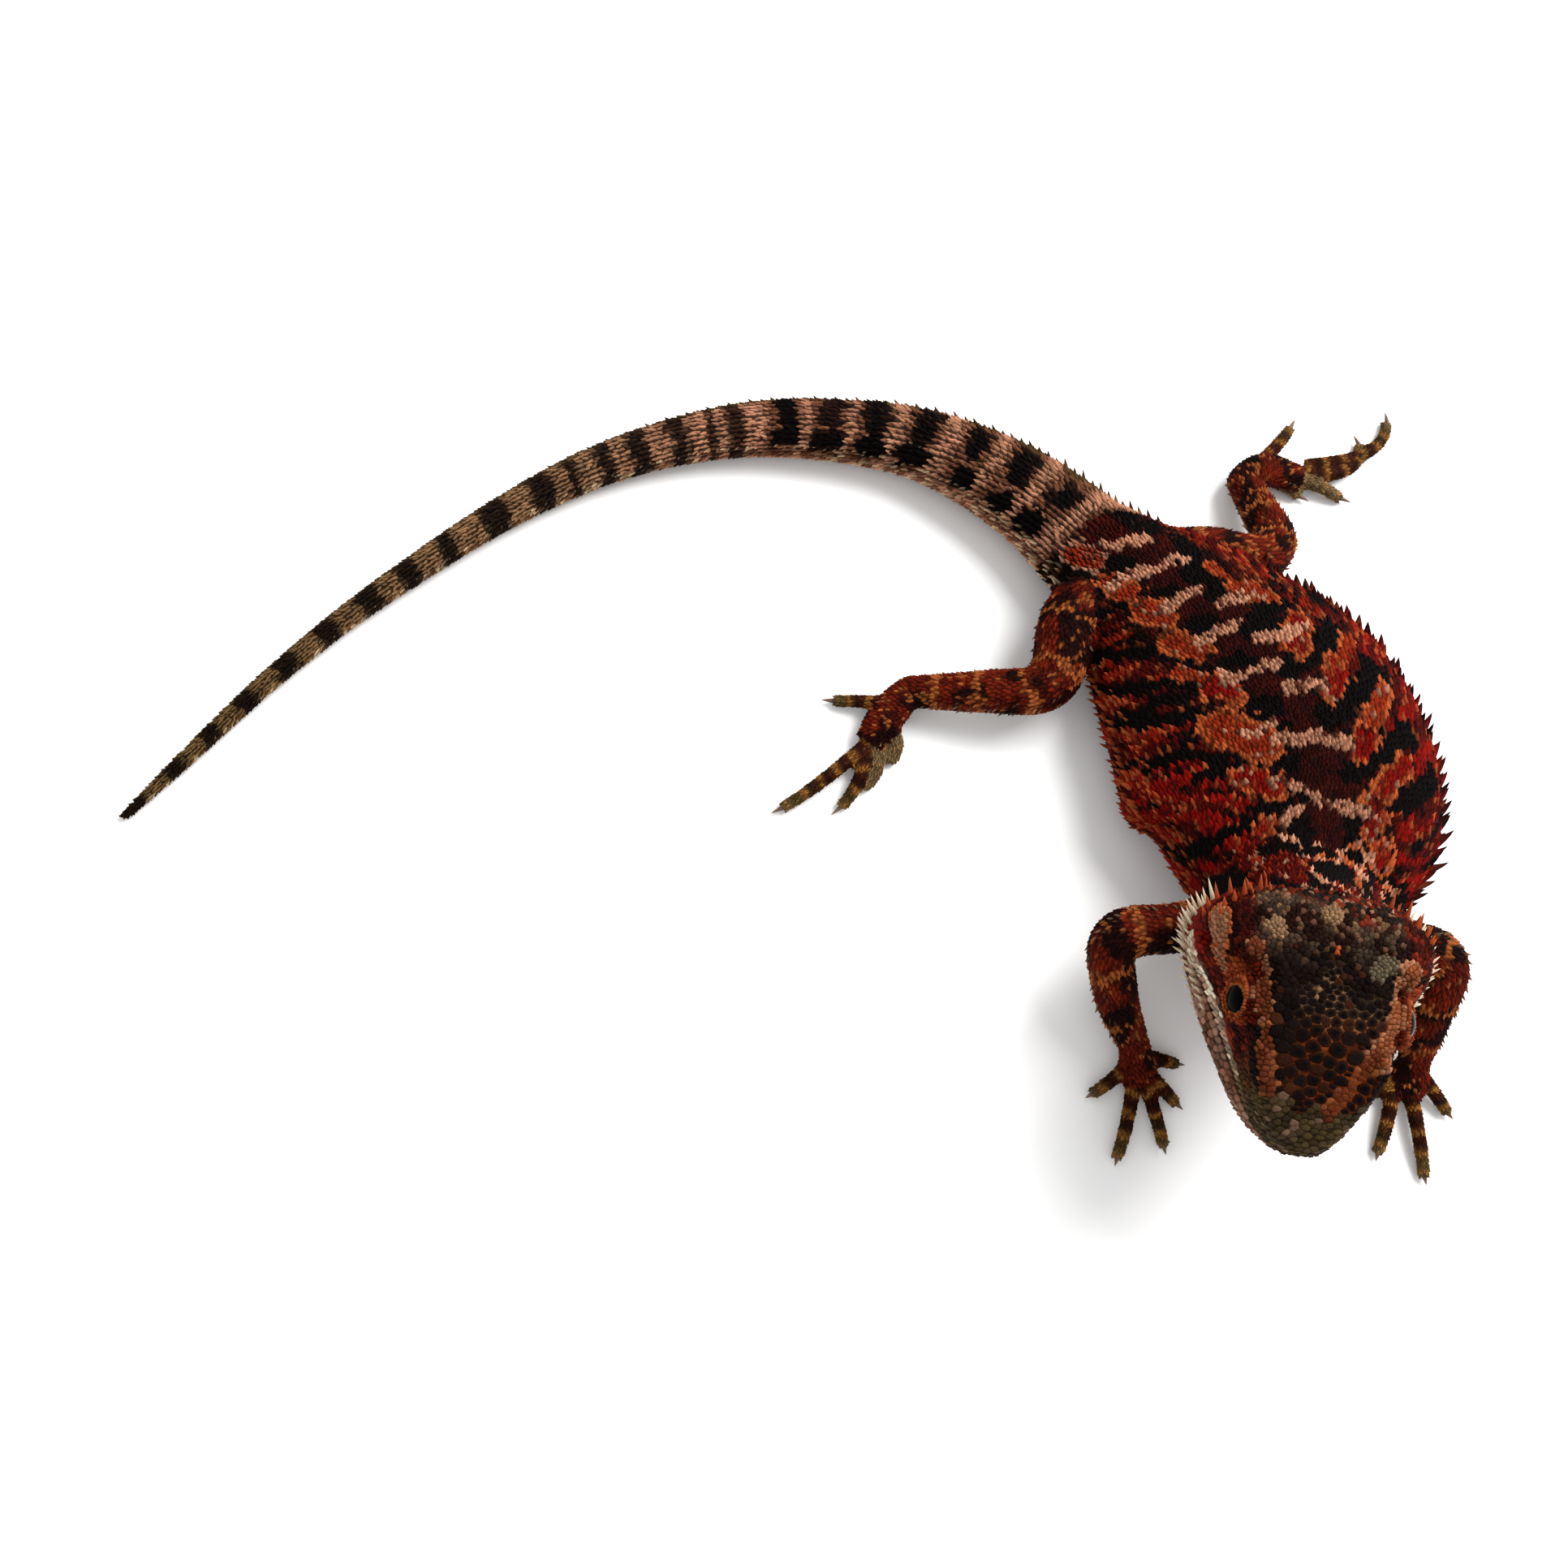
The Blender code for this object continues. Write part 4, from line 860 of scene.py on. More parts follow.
def paint_marks(coat, chosen, colours, marks):
    """Marks with ragged rims, each scale wholly inside or outside."""
    along, across, root = coat.along[chosen], coat.across[chosen], coat.root[chosen]
    ragged = 1.1 + 0.7 * (cloud(root, 1.5, 3.0) - 0.5) + 0.7 * (cloud(root, 3.4, 4.0) - 0.5)
    ragged *= 1 + 0.3 * (coat.draw[chosen, 0] - 0.5)
    if marks is HEAD_MARKS:
        ragged = 0.75 + 0.35 * ragged
    inner = cloud(root, 1.4, 8.0)
    part = colours[chosen]
    every = ((rim, heart, *mark) for rim, heart, group in marks for mark in group)
    for rim, heart, reach, *path in every:
        gap = path_distance(along, across, path) / (reach * ragged)
        on = gap < 1.0
        if rim == "orange" and reach > 1.5:
            edge = (gap >= 1.0) & (gap < 1.0 + 0.7 / reach)
            part[edge] = 0.3 * part[edge] + 0.7 * PAINTS["black"]
        share = soft_step(0.85, 0.6, gap) * np.clip(0.5 + 1.1 * inner, 0, 1)
        if rim == "bead":
            share = 0.9 * (coat.draw[chosen, 1] < 0.13)
        tone = PAINTS[rim] * (1 - share[:, None]) + PAINTS[heart] * share[:, None]
        if rim == "orange" and reach > 1.5:
            pale = (share > 0.45) & (coat.draw[chosen, 1] < 0.2) & (cloud(root, 2.2, 23.0) > 0.45)
            tone = mix(tone, "rose", 0.9 * pale)
            coat.beads[np.nonzero(chosen)[0][on & pale]] = True
        if rim == "bead":
            coat.beads[np.nonzero(chosen)[0][on]] = True
        part[on] = tone[on]
    colours[chosen] = part
    return colours


def mix(first, second, share):
    """Two paints, by name or mixed before, and the second's share."""
    first, second = (PAINTS[tone] if isinstance(tone, str) else tone for tone in (first, second))
    share = np.asarray(share, float)
    share = share[:, None] if share.ndim else share
    return first * (1 - share) + second * share


def layered(ground, *coats):
    """A ground under coats of paint in turn, each with the share that it covers."""
    for colour, share in coats:
        ground = mix(ground, colour, share)
    return ground


def named(coat, *words):
    """Which scales stand on a form whose name holds one of the words."""
    return np.any([np.char.find(coat.form, word) >= 0 for word in words], axis=0)


def streaks(coat, run, wide, seed):
    """Streaks that run down and back over the flanks."""
    side = np.abs(coat.across)
    slant = coat.along - 0.42 * side
    flat = np.column_stack([slant / wide, (side + 0.4 * coat.along) / run, np.sign(coat.across) * 9])
    return cloud(flat, 1.0, seed)


def trunk_colours(coat):
    side, root, draw = np.abs(coat.across), coat.root, coat.draw
    middle = mix("maroon", "black", 0.8 * cloud(root, 1.5, 1.0))
    beside = mix("black", "maroon", 0.9 * soft_step(0.35, 0.75, cloud(root, 2.0, 2.0)))
    streak = 0.6 * streaks(coat, 9.0, 1.6, 5.0) + 0.4 * streaks(coat, 4.0, 1.0, 6.0)
    front = soft_step(56, 46, coat.along)
    low = 0.485 - 0.035 * front
    bright = mix("rust", "red", np.clip(front + 0.6, 0, 1)) * 1.12
    bright = mix(bright, "orange", 0.7 * (draw[:, 0] < 0.1 + 0.16 * (coat.along > 50)))
    dull = mix("black", mix("deep_red", "maroon", 0.4), soft_step(low - 0.14, low - 0.05, streak))
    fleck = (cloud(root, 1.3, 24.0) > 0.66) * (streak < low + 0.12) * (draw[:, 1] < 0.5)
    flank = layered(dull, (bright, soft_step(low, low + 0.1, streak)), (PAINTS["orange"] * 0.8, 0.6 * fleck))
    under = np.abs(coat.share) + 0.1 * (cloud(root, 3.0, 6.0) - 0.5)
    return layered(middle, (beside, soft_step(3.5, 5.5, side)),
                   (flank, soft_step(10, 15, side + 3 * (cloud(root, 3.0, 21.0) - 0.5))),
                   ("belly", soft_step(0.74, 0.86, under)))


def tail_colours(coat):
    along, across, draw, under = coat.along, coat.across, coat.draw, np.abs(coat.share)
    base = soft_step(103.5, 101, along + 0.06 * np.minimum(across, 0.0) ** 2)
    low_side = soft_step(0.32, 0.4, under)
    ground = layered(
        PAINTS["rose"] * 1.15, ("tan", 0.5 * cloud(coat.root, 3.0, 7.0)), ("bead", 0.35 * (draw[:, 0] < 0.3)),
        ("tan", soft_step(180, 215, along)), ("olive", 0.75 * soft_step(215, 300, along)),
        ("maroon", base), ("black", base * soft_step(3, 5, np.abs(across))),
        ("cream", 0.75 * low_side * (draw[:, 1] < 0.3)), ("brown", 0.7 * low_side * (draw[:, 1] > 0.72)))
    band = along + 1.4 * (cloud(coat.root, 2.0, 9.0) - 0.5) + 0.8 * (draw[:, 2] - 0.5)
    for start, end in TAIL_BANDS:
        here = soft_step(start - 0.9, start + 0.7, band) * soft_step(end + 0.9, end - 0.7, band)
        ground = mix(ground, "dark" if start < 183 else "black", 0.95 * here)
    gap = np.abs(band[:, None] - SADDLES - 0.2 * np.maximum(across, 0)[:, None])
    saddle = soft_step(4.2, 2.9, gap.min(axis=1))
    edge = soft_step(0.23, 0.31, under + 0.06 * (draw[:, 0] - 0.5)) * (across < 0)
    return layered(ground, ("brown", 0.78 * saddle * soft_step(10.5, 8.5, np.abs(across))),
                   (PAINTS["olive"] * 0.35, 0.85 * edge * np.maximum(saddle, soft_step(140, 165, band))),
                   ("belly", 0.8 * soft_step(0.62, 0.8, under)))


def head_colours(coat):
    """The crown's ground, the sides, lips, snout and throat, and the seams' colour of the crown."""
    root, along, across, draw, side = coat.root, coat.along, coat.across, coat.draw, np.abs(coat.across)
    _, forward, height = head_coordinates(root).T
    rough, fine = cloud(root, 1.8, 11.0), cloud(root, 0.9, 12.0)
    gravel = layered(mix("grey", "dark", soft_step(0.3, 0.62, rough)),
                     (PAINTS["rose"] * 0.7, 0.5 * (draw[:, 0] < 0.12)),
                     (PAINTS["tan"] * 0.9, 0.7 * (draw[:, 1] > 0.9)))
    nape = layered(PAINTS["rust"] * 0.8, ("black", soft_step(0.35, 0.55, fine)),
                   (PAINTS["rose"] * 0.8, 0.8 * (draw[:, 0] < 0.12)))
    cheek = layered("maroon", ("rust", 0.7 * soft_step(0.45, 0.75, fine)),
                    ("black", 0.75 * soft_step(0.5, 0.62, rough)),
                    (PAINTS["olive"] * 0.6, 0.6 * soft_step(27, 33, along)))
    nape_edge = along + 5 * (rough - 0.5) + 0.35 * np.clip(across, -6, 8)
    colours = layered("crown", ("black", 0.8 * rough),
                      ("brown", 0.5 * (draw[:, 1] < 0.22) * soft_step(0.4, 0.6, fine)),
                      (gravel, 0.9 * soft_step(15, 8, along)), (nape, 0.8 * soft_step(4.6, 2.0, nape_edge)),
                      (cheek, soft_step(11.5, 13.5, side)))
    for word in (1, -1):
        angle, reach = eye_angles(root, word)
        above = soft_step(0.0, 2.5, (root - eye_frame(word)[0]) @ HEAD_AXES[2] - 1.5)
        lid = layered("orange", ("rust", fine), ("maroon", above), ("orange", 0.8 * soft_step(46, 43, angle)))
        colours = mix(colours, lid, 0.9 * (reach < 7.5) * soft_step(70, 58, angle))
    blood = (forward < 9) * (side > 18) * soft_step(-11.5, -13, height) * soft_step(-19.5, -18, height)
    gap = height - lip_heights(forward)
    band = 2.4 + 1.1 * soft_step(24, 15, forward)
    lips = soft_step(band + 0.5, band - 0.4, gap) * (forward > MOUTH_CORNER - 3) * (gap > -0.2)
    pale = layered("bone", ("rose", 0.8 * soft_step(0.4, 0.65, fine)),
                   ("throat", 0.8 * soft_step(15, 19, forward) * (draw[:, 2] < 0.6)),
                   (PAINTS["olive"] * 0.8, 0.85 * soft_step(23, 30, forward)), ("grey", 0.7 * (across < 0)))
    stripes = cloud(np.column_stack([along / 6, height / 1.1, np.sign(across) * 5]), 1.0, 12.0)
    jaw = layered(PAINTS["throat"] * 1.25, ("brown", 0.8 * soft_step(0.45, 0.65, stripes)),
                  ("rose", 0.6 * (draw[:, 1] < 0.25)))
    snout = mix(mix("grey", "olive", rough) * (0.3 + 0.75 * fine[:, None]), "throat", 0.5 * (draw[:, 1] < 0.15))
    snout_edge = 35.4 + np.sin(across * 0.95) - 0.16 * side + 1.2 * (fine - 0.5)
    on_snout = (along > snout_edge) & (side < 15) & (gap > 0.6)
    colours = layered(colours, ("blood", 0.9 * blood), (pale, lips),
                      (jaw, soft_step(-0.2, -0.6, gap) * (forward > 1)), (snout, on_snout))
    patchy = 0.25 + 0.75 * soft_step(0.35, 0.6, cloud(root, 3.2, 19.0))
    seam_here = soft_step(15, 22, along) * ~on_snout * soft_step(8.0, 5.0, np.abs(across + 2.0)) * patchy
    midline = np.abs(across + 0.6 + 0.8 * np.sin(along * 0.8)) < 1.3
    net = 0.8 * soft_step(12, 15, along) * midline * (along < 24)
    seam = mix(PAINTS["bright_orange"] * 0.45, PAINTS["tan"] * 0.75, soft_step(25, 19, along))
    return colours, np.maximum(seam_here, net), seam


def limb_colours(coat):
    root, along, draw = coat.root, coat.along, coat.draw
    toe, foot, arm = named(coat, "toe"), named(coat, "hand", "foot"), named(coat, "arm", "hand")
    wave = along * np.where(arm, 0.62, 0.72) + np.where(arm, 2.2, 0.6) + 2.2 * (cloud(root, 4.0, 15.0) - 0.5)
    bars = soft_step(0.8, 0.92, np.sin(wave)) * (draw[:, 0] < 0.8) * ~foot
    bar = mix("orange", "gold", 0.3) * 0.9
    net = (np.abs(cloud(root, 3.6, 28.0) - 0.5) < 0.03) * (draw[:, 2] < 0.75) * ~toe
    spot = (draw[:, 1] < 0.01 + 0.05 * (cloud(root, 2.4, 22.0) > 0.56) + 0.05 * foot) & ~toe
    ends = {name: along[coat.form == name].max() for name in set(coat.form)}
    share = along / np.array([ends[name] for name in coat.form])
    wave = along * 1.6 + 2.0 * (cloud(root, 2.0, 17.0) - 0.5)
    inner = named(coat, "foot") & named(coat, "toe_1", "toe_2")
    digit = layered("maroon", ("brown", cloud(root, 1.5, 20.0)), ("olive", soft_step(0.55, 0.9, share)),
                    ("gold", 0.75 * soft_step(0.5, 0.9, np.sin(wave + 1.0))),
                    ("dark", 0.7 * soft_step(0.5, 0.9, np.sin(wave + 3.6)) * (share < 0.8)),
                    ("sole", np.maximum(0.4 * soft_step(0.85, 1.0, share), 0.55 * inner)))
    return layered("maroon", ("rust", 0.75 * cloud(root, 2.0, 13.0)),
                   ("black", 0.9 * soft_step(0.48, 0.6, cloud(root, 3.4, 14.0))), (bar, 0.85 * bars),
                   (bar, 0.7 * net), (bar, 0.8 * spot), (digit, toe),
                   ("sole", 0.85 * soft_step(0.55, 0.72, np.abs(coat.share))))


def neck_colours(coat):
    draw, patch = coat.draw, cloud(coat.root, 3.2, 16.0)
    return layered("deep_red", ("black", soft_step(0.45, 0.58, patch)),
                   ("rust", 0.8 * (draw[:, 0] < 0.25) * (patch < 0.5)),
                   ("rose", 0.8 * (draw[:, 1] < 0.35) * (cloud(coat.root, 1.6, 18.0) > 0.68)),
                   ("throat", soft_step(0.6, 0.75, np.abs(coat.share))))


# Black patches on the nape: x and y of the middle, and half the width and length.
NAPE_PATCHES = ((2.5, -36.6, 4.6, 2.5), (-15.0, -37.0, 3.2, 2.3), (16.2, -41.4, 2.9, 2.7),
                (9.5, -33.0, 2.0, 1.5))


def nape_marks(coat, colours):
    """Black patches on the nape with broken rims of rose and orange."""
    root = coat.root
    above = (root[:, 2] > 20) & ((coat.form == "neck") | (coat.form == "body"))
    ragged = 1 + 0.5 * (cloud(root, 1.8, 25.0) - 0.5)
    rim = mix("orange", "bead", soft_step(0.4, 0.6, cloud(root, 1.6, 26.0)))
    broken = (cloud(root, 2.0, 27.0) > 0.38) & (root[:, 0] > -8)
    for x, y, wide, long in NAPE_PATCHES:
        gap = np.hypot((root[:, 0] - x) / wide, (root[:, 1] - y) / long) * ragged
        edge = above & broken & (gap < 1.0 + 1.0 / long) & (gap >= 1.0)
        colours[edge] = rim[edge]
        colours[above & (gap < 1.0)] = PAINTS["black"]
    return colours


def coat_colours(coat):
    """Each scale's own colour, and that of its rim and the skin beside it: painted shade, the scale's colour
    darkened, except for the real seams on the crown.
    """
    colours = neck_colours(coat)
    coat.beads = np.zeros(len(colours), bool)
    body, head = coat.form == "body", coat.form == "head"
    limb = named(coat, "arm", "leg", "hand", "foot")
    tail = body & (coat.along > TRUNK_END)
    colours[body] = trunk_colours(coat)[body]
    colours[tail] = tail_colours(coat)[tail]
    colours = paint_marks(coat, body, colours, BODY_MARKS)
    colours = nape_marks(coat, colours)
    crown, seam_here, seam = head_colours(coat)
    colours[head] = crown[head]
    colours = paint_marks(coat, head, colours, HEAD_MARKS)
    colours[limb] = limb_colours(coat)[limb]
    colours = colours * (0.7 + 0.7 * coat.draw[:, 2:])
    # painted shade for the rims and the skin between the scales: a darkened copy of each scale's colour, nearly
    # black between the tail's scales, whose own colours are lightened against it
    rim = colours * 0.35
    rim[tail] = colours[tail] * 0.1
    colours[tail] *= 1.15
    # on the crown the rims take the real colour of the seams where these run, and painted shade elsewhere
    rim[head] = mix(rim, seam, seam_here)[head]
    return colours, rim


# ---- The shapes of scales

def triangles_of(bm):
    """A mesh's corners and triangles as arrays."""
    bmesh.ops.triangulate(bm, faces=bm.faces[:])
    bm.verts.index_update()
    places = np.array([v.co for v in bm.verts])
    faces = np.array([[v.index for v in face.verts] for face in bm.faces])
    bm.free()
    return places, faces


def grid_template(columns, rows):
    """A flat grid: across from -1 to 1, along from 0 at the root to 1 at the tip, and its triangles."""
    bm = bmesh.new()
    bmesh.ops.create_grid(bm, x_segments=columns, y_segments=rows, size=0.5)
    places, faces = triangles_of(bm)
    return places[:, 0] * 2, places[:, 1] + 0.5, faces


def cone_template(rings, sides):
    """Rings that narrow to a tip: each corner's ring, the angle round it, and the triangles."""
    bm = bmesh.new()
    loops = []
    for k in range(rings):
        made = bmesh.ops.create_circle(bm, segments=sides, radius=rings - k)["verts"]
        for v in made:
            v.co.z = k
        loops.append(made)
    bridge(bm, loops)
    close(bm, loops[-1], (0, 0, rings))
    bmesh.ops.recalc_face_normals(bm, faces=bm.faces[:])
    outward = max(bm.faces, key=lambda face: face.calc_center_median().x)
    if outward.normal.x < 0:
        bmesh.ops.reverse_faces(bm, faces=bm.faces[:])
    places, faces = triangles_of(bm)
    return np.round(places[:, 2]).astype(int), np.arctan2(places[:, 1], places[:, 0]), faces


def scale_points(coat, chosen, wide, long, height, lift, sharp, turn, columns, rows):
    """Keeled scales: a crowned blade from a sunk root to a raised tip, with painted shade at its root and edges
    and a painted highlight on its keel and towards its tip.
    """
    u, v, faces = grid_template(columns, rows)
    half = np.sin(np.pi * (0.18 + 0.74 * v)) ** 0.8
    half = half * (1 - sharp[:, None] * v**3)
    x = u * half * (wide / 2)[:, None]
    y = (v - 0.42) * long[:, None]
    dome = (1 - np.abs(u) ** 2.2) * (0.5 + 0.5 * v) * (v > 0.01)
    keel = np.maximum(0.0, 1 - np.abs(u) * 2.2) * v
    z = height[:, None] * (dome + 0.8 * keel) + lift[:, None] * v**1.6 * (1 - 0.5 * np.abs(u))
    edge = (np.abs(u) > 0.99) | (v < 0.01)
    z = np.where(edge, lift[:, None] * v**1.6 * 0.35 - 0.14, z)
    z = z - x**2 / (2 * coat.radius[chosen])[:, None]
    flow, normal = coat.flow[chosen], coat.normal[chosen]
    side = np.cross(flow, normal)
    flow, side = (flow * np.cos(turn)[:, None] + side * np.sin(turn)[:, None],
                  side * np.cos(turn)[:, None] - flow * np.sin(turn)[:, None])
    places = set_out(coat.root[chosen], (x, side), (y, flow), (z, normal))
    # painted shade and highlight: the share of the scale's own colour over its darkened rim colour, low at the
    # sunk root and edges and higher on the keel and towards the tip, where it is partly the scales' real paler
    # tips
    inner = np.where(edge, 0.1 * v, 0.4 + 0.35 * keel + 0.4 * v)
    return places, faces, inner, np.column_stack([u, v * 2 - 1])


def plate_points(coat, chosen, dome, tilt, peak):
    """Head plates: each fills the room halfway to its neighbours, with a rounded top and sunk rim, coloured
    with a painted highlight at the top and the rim colour at the edge.
    """
    level, angle, faces = cone_template(3, 10)
    picks = np.nonzero(chosen)[0]
    flow, normal = coat.flow[picks], coat.normal[picks]
    side = np.cross(flow, normal)
    near = np.array([[other for _, other, _ in coat.tree.find_n(coat.root[i], 12)][1:] for i in picks])
    offset = coat.root[near] - coat.root[picks][:, None]
    x = np.einsum("nkc,nc->nk", offset, side)
    y = np.einsum("nkc,nc->nk", offset, flow)
    share = (coat.width[picks][:, None] / (coat.width[picks][:, None] + coat.width[near])) * (x**2 + y**2)
    toward = x[:, :, None] * np.cos(angle) + y[:, :, None] * np.sin(angle)
    reach = np.where(toward > 1e-3, share[:, :, None] / np.maximum(toward, 1e-3), 9.0).min(axis=1)
    reach = np.minimum(reach * 1.05, 0.78 * coat.width[picks][:, None])
    steps = np.array((1.0, 0.91, 0.45, 0.0))[level]
    heights = np.array((-0.12, 0.78, 0.97, 1.0))[level] + peak[:, None] * (level == 3)
    px, py = reach * steps * np.cos(angle), reach * steps * np.sin(angle)
    lean = (coat.draw[picks, :2] - 0.5) * 0.5
    slope = tilt[:, None] * py + lean[:, :1] * px + lean[:, 1:] * py
    z = np.where(level == 0, -0.12, heights * dome[:, None] + 0.3 * slope / coat.width[picks][:, None])
    places = set_out(coat.root[picks], (px, side), (py, flow), (z, normal))
    # painted highlight and shade: the rim colour at the sunk edge (painted shade, or the crown's real seams),
    # the plate's own colour inside, and a little lighter at the top
    inner = np.array((0.0, 0.86, 1.0, 1.1))[level]
    patch = np.column_stack([steps * np.cos(angle), steps * np.sin(angle)])
    return places, faces, inner, patch


def paint_mesh(mesh, colours):
    """A colour for each vertex, as the attribute that the materials read."""
    attribute = mesh.color_attributes.new("markings", "FLOAT_COLOR", "POINT")
    rgba = np.column_stack([colours, np.ones(len(colours))]).astype(np.float32)
    attribute.data.foreach_set("color", rgba.ravel())


def joined(name, places, faces, colours, patch, homes):
    """One mesh of many like shapes, with its colours and a small patch of the coat's map for each."""
    count, corners = places.shape[:2]
    places[..., 2] = np.maximum(places[..., 2], 0.03)
    mesh = bpy.data.meshes.new(name)
    total = count * len(faces)
    mesh.vertices.add(count * corners)
    mesh.vertices.foreach_set("co", (places * MM).astype(np.float32).ravel())
    all_faces = (faces[None] + (np.arange(count) * corners)[:, None, None]).reshape(-1, 3)
    mesh.loops.add(total * 3)
    mesh.loops.foreach_set("vertex_index", all_faces.astype(np.int32).ravel())
    mesh.polygons.add(total)
    mesh.polygons.foreach_set("loop_start", np.arange(total, dtype=np.int32) * 3)
    mesh.update(calc_edges=True)
    mesh.shade_smooth()
    paint_mesh(mesh, np.clip(colours, 0, 1).reshape(-1, 3))
    layer = mesh.uv_layers.new(name="OFBake")
    uv = (homes[:, None] + patch[None] * 0.0015).reshape(-1, 2)[all_faces.ravel()]
    layer.data.foreach_set("uv", uv.astype(np.float32).ravel())
    return placed(name, mesh)


# ---- The map of the coat

def chart_homes(coat, forms):
    """Each scale's place on one flat sheet where every form is unrolled into its own strip."""
    charts = []
    for form in forms:
        cuts = np.linspace(0, form.length, max(1, math.ceil(form.length / 120)) + 1)
        cuts[0], cuts[-1] = -5.0, form.length + 5.0
        for start, end in zip(cuts, cuts[1:]):
            chosen = (coat.form == form.name) & (coat.along >= start) & (coat.along < end)
            if chosen.any():
                low, high = coat.along[chosen].min(), coat.along[chosen].max()
                tall = 2 * np.abs(coat.across[chosen]).max() + 2
                charts.append((tall, high - low + 2, low, chosen))
    charts.sort(key=lambda chart: -chart[0])
    width = 1.12 * math.sqrt(sum(tall * long for tall, long, _, _ in charts))
    homes = np.zeros((len(coat.root), 2))
    x = y = shelf = 0.0
    for tall, long, low, chosen in charts:
        if x + long > width:
            x, y, shelf = 0.0, y + shelf, 0.0
        shelf = max(shelf, tall)
        homes[chosen, 0] = x + 1 + coat.along[chosen] - low
        homes[chosen, 1] = y + tall / 2 + coat.across[chosen]
        x += long
    return 0.005 + homes * 0.99 / max(width, y + shelf)


# ---- Scales and spines as meshes

def grow_scales(name, coat, homes, paints, chosen, height, lift, sharp):
    count = int(chosen.sum())
    fat = 0.98 if name.startswith("tail") else 1.12
    columns = 2 if name.startswith("toe") else 4
    size = RNG.uniform(0.86, 1.16, count)
    beads = coat.beads[chosen]
    places, faces, inner, patch = scale_points(
        coat, chosen, coat.width[chosen] * fat * size * np.where(beads, 1.06, 1.0),
        coat.length[chosen] * OVERLAP * size * np.where(beads, 0.86, 1.0),
        height * size * np.where(beads, 2.2, 1.0), lift * RNG.uniform(0.7, 1.2, count),
        np.where(beads, 0.05, sharp), RNG.normal(0, 0.17, count), columns, 4)
    colours, rim = paints[0][chosen][:, None], paints[1][chosen][:, None]
    # painted shade at each scale's root and edges, and painted highlight on its keel and tip, up to 1.15 times
    # its own colour
    tint = rim + (colours - rim) * inner[None, :, None] * 1.15
    return joined(name, places, faces, tint, patch, homes[chosen])


def grow_plates(name, coat, homes, paints, chosen):
    width = coat.width[chosen]
    dome = np.where(width < 1.05, 0.19, 0.12) * RNG.uniform(0.7, 1.4, len(width))
    dome = dome * np.where(coat.along[chosen] > 35, 0.55, 1.0)
    peak = np.where(width < 1.05, 1.0, 0.0) * RNG.uniform(0.2, 1.6, len(width))
    peak = np.where(np.isclose(width, ROSETTE_GRAIN), 2.6, peak)
    tilt = np.where(width < 1.1, 1.0, 0.6)
    places, faces, inner, patch = plate_points(coat, chosen, dome, tilt, peak)
    colours, rim = paints[0][chosen][:, None], paints[1][chosen][:, None]
    # painted shade or the real seam colour at each plate's rim, painted highlight at its top
    tint = rim + (colours - rim) * inner[None, :, None]
    return joined(name, places, faces, tint, patch, homes[chosen])


class Spines:
    """Curved spines, gathered row by row and then made as one mesh."""

    def __init__(self, coat):
        self.coat = coat
        self.rows = []

    def grow(self, inside, toward, lean, length, width, tones, reach=60.0):
        """A spine where a line from inside the body towards the outside leaves the skin, if near enough."""
        inside, toward = Vector(inside), Vector(toward).normalized()
        root, normal, _, _ = self.coat.surface.ray_cast(inside + toward * 60, -toward)
        if root is None or (root - inside).length > reach:
            return
        direction = unit(np.array(normal) + np.array(lean) * RNG.uniform(0.8, 1.25))
        self.rows.append((root, direction, lean, length * RNG.uniform(0.82, 1.15), width, *tones))

    def made(self, name, homes, rings=4, sides=6):
        level, angle, faces = cone_template(rings, sides)
        root, direction, lean, length, width, foot, tip = (np.array(column) for column in zip(*self.rows))
        t = level / rings
        side = unit(np.cross(direction, np.where(np.abs(direction[:, 2:]) > 0.9, (1.0, 0, 0), (0, 0, 1.0))))
        out = t * (length[:, None] + 0.5) - 0.5
        hook = 0.3 * length[:, None] * t**2
        thick = width[:, None] / 2 * (1 - t) ** 0.8 * (level < rings)
        places = set_out(root, (out, direction), (hook, lean - 0.2 * direction), (thick * np.cos(angle), side),
                         (thick * np.sin(angle), np.cross(direction, side)))
        colours = set_out(np.zeros((len(root), 3)), (np.tile(1 - t, (len(root), 1)), foot),
                          (np.tile(t, (len(root), 1)), tip))
        near = [self.coat.tree.find(place)[1] for place in root]
        patch = np.column_stack([(1 - t) * np.cos(angle), (1 - t) * np.sin(angle)])
        return joined(name, places, faces, colours, patch, homes[near])


# Rows of spines along the trunk and tail: from and to in millimetres along the body, the degrees above
# the widest level, the distance between spines, their length at the first and last, and their width.
BODY_SPINES = (
    (14.0, 82.0, 6, 1.6, 3.3, 1.8, 1.6), (16.0, 80.0, -16, 1.7, 2.4, 1.6, 1.35),
    (14.5, 84.0, -7, 1.5, 2.2, 1.6, 1.2), (15.5, 84.0, -27, 1.5, 2.0, 1.6, 1.1),
    (15.0, 78.0, 17, 1.7, 1.7, 1.2, 1.0), (17.0, 82.0, 48, 8.5, 1.0, 1.0, 1.1),
    (20.0, 84.0, 72, 8.5, 0.9, 1.0, 1.0), (92.0, 150.0, 22, 1.8, 1.8, 1.1, 1.0),
    (92.0, 150.0, 10, 2.4, 1.1, 0.8, 0.9), (93.0, 150.0, 58, 2.3, 0.9, 0.7, 0.9),
    (150.0, 215.0, 24, 2.0, 1.0, 0.7, 0.8), (215.0, 300.0, 26, 2.4, 0.7, 0.35, 0.6),
)
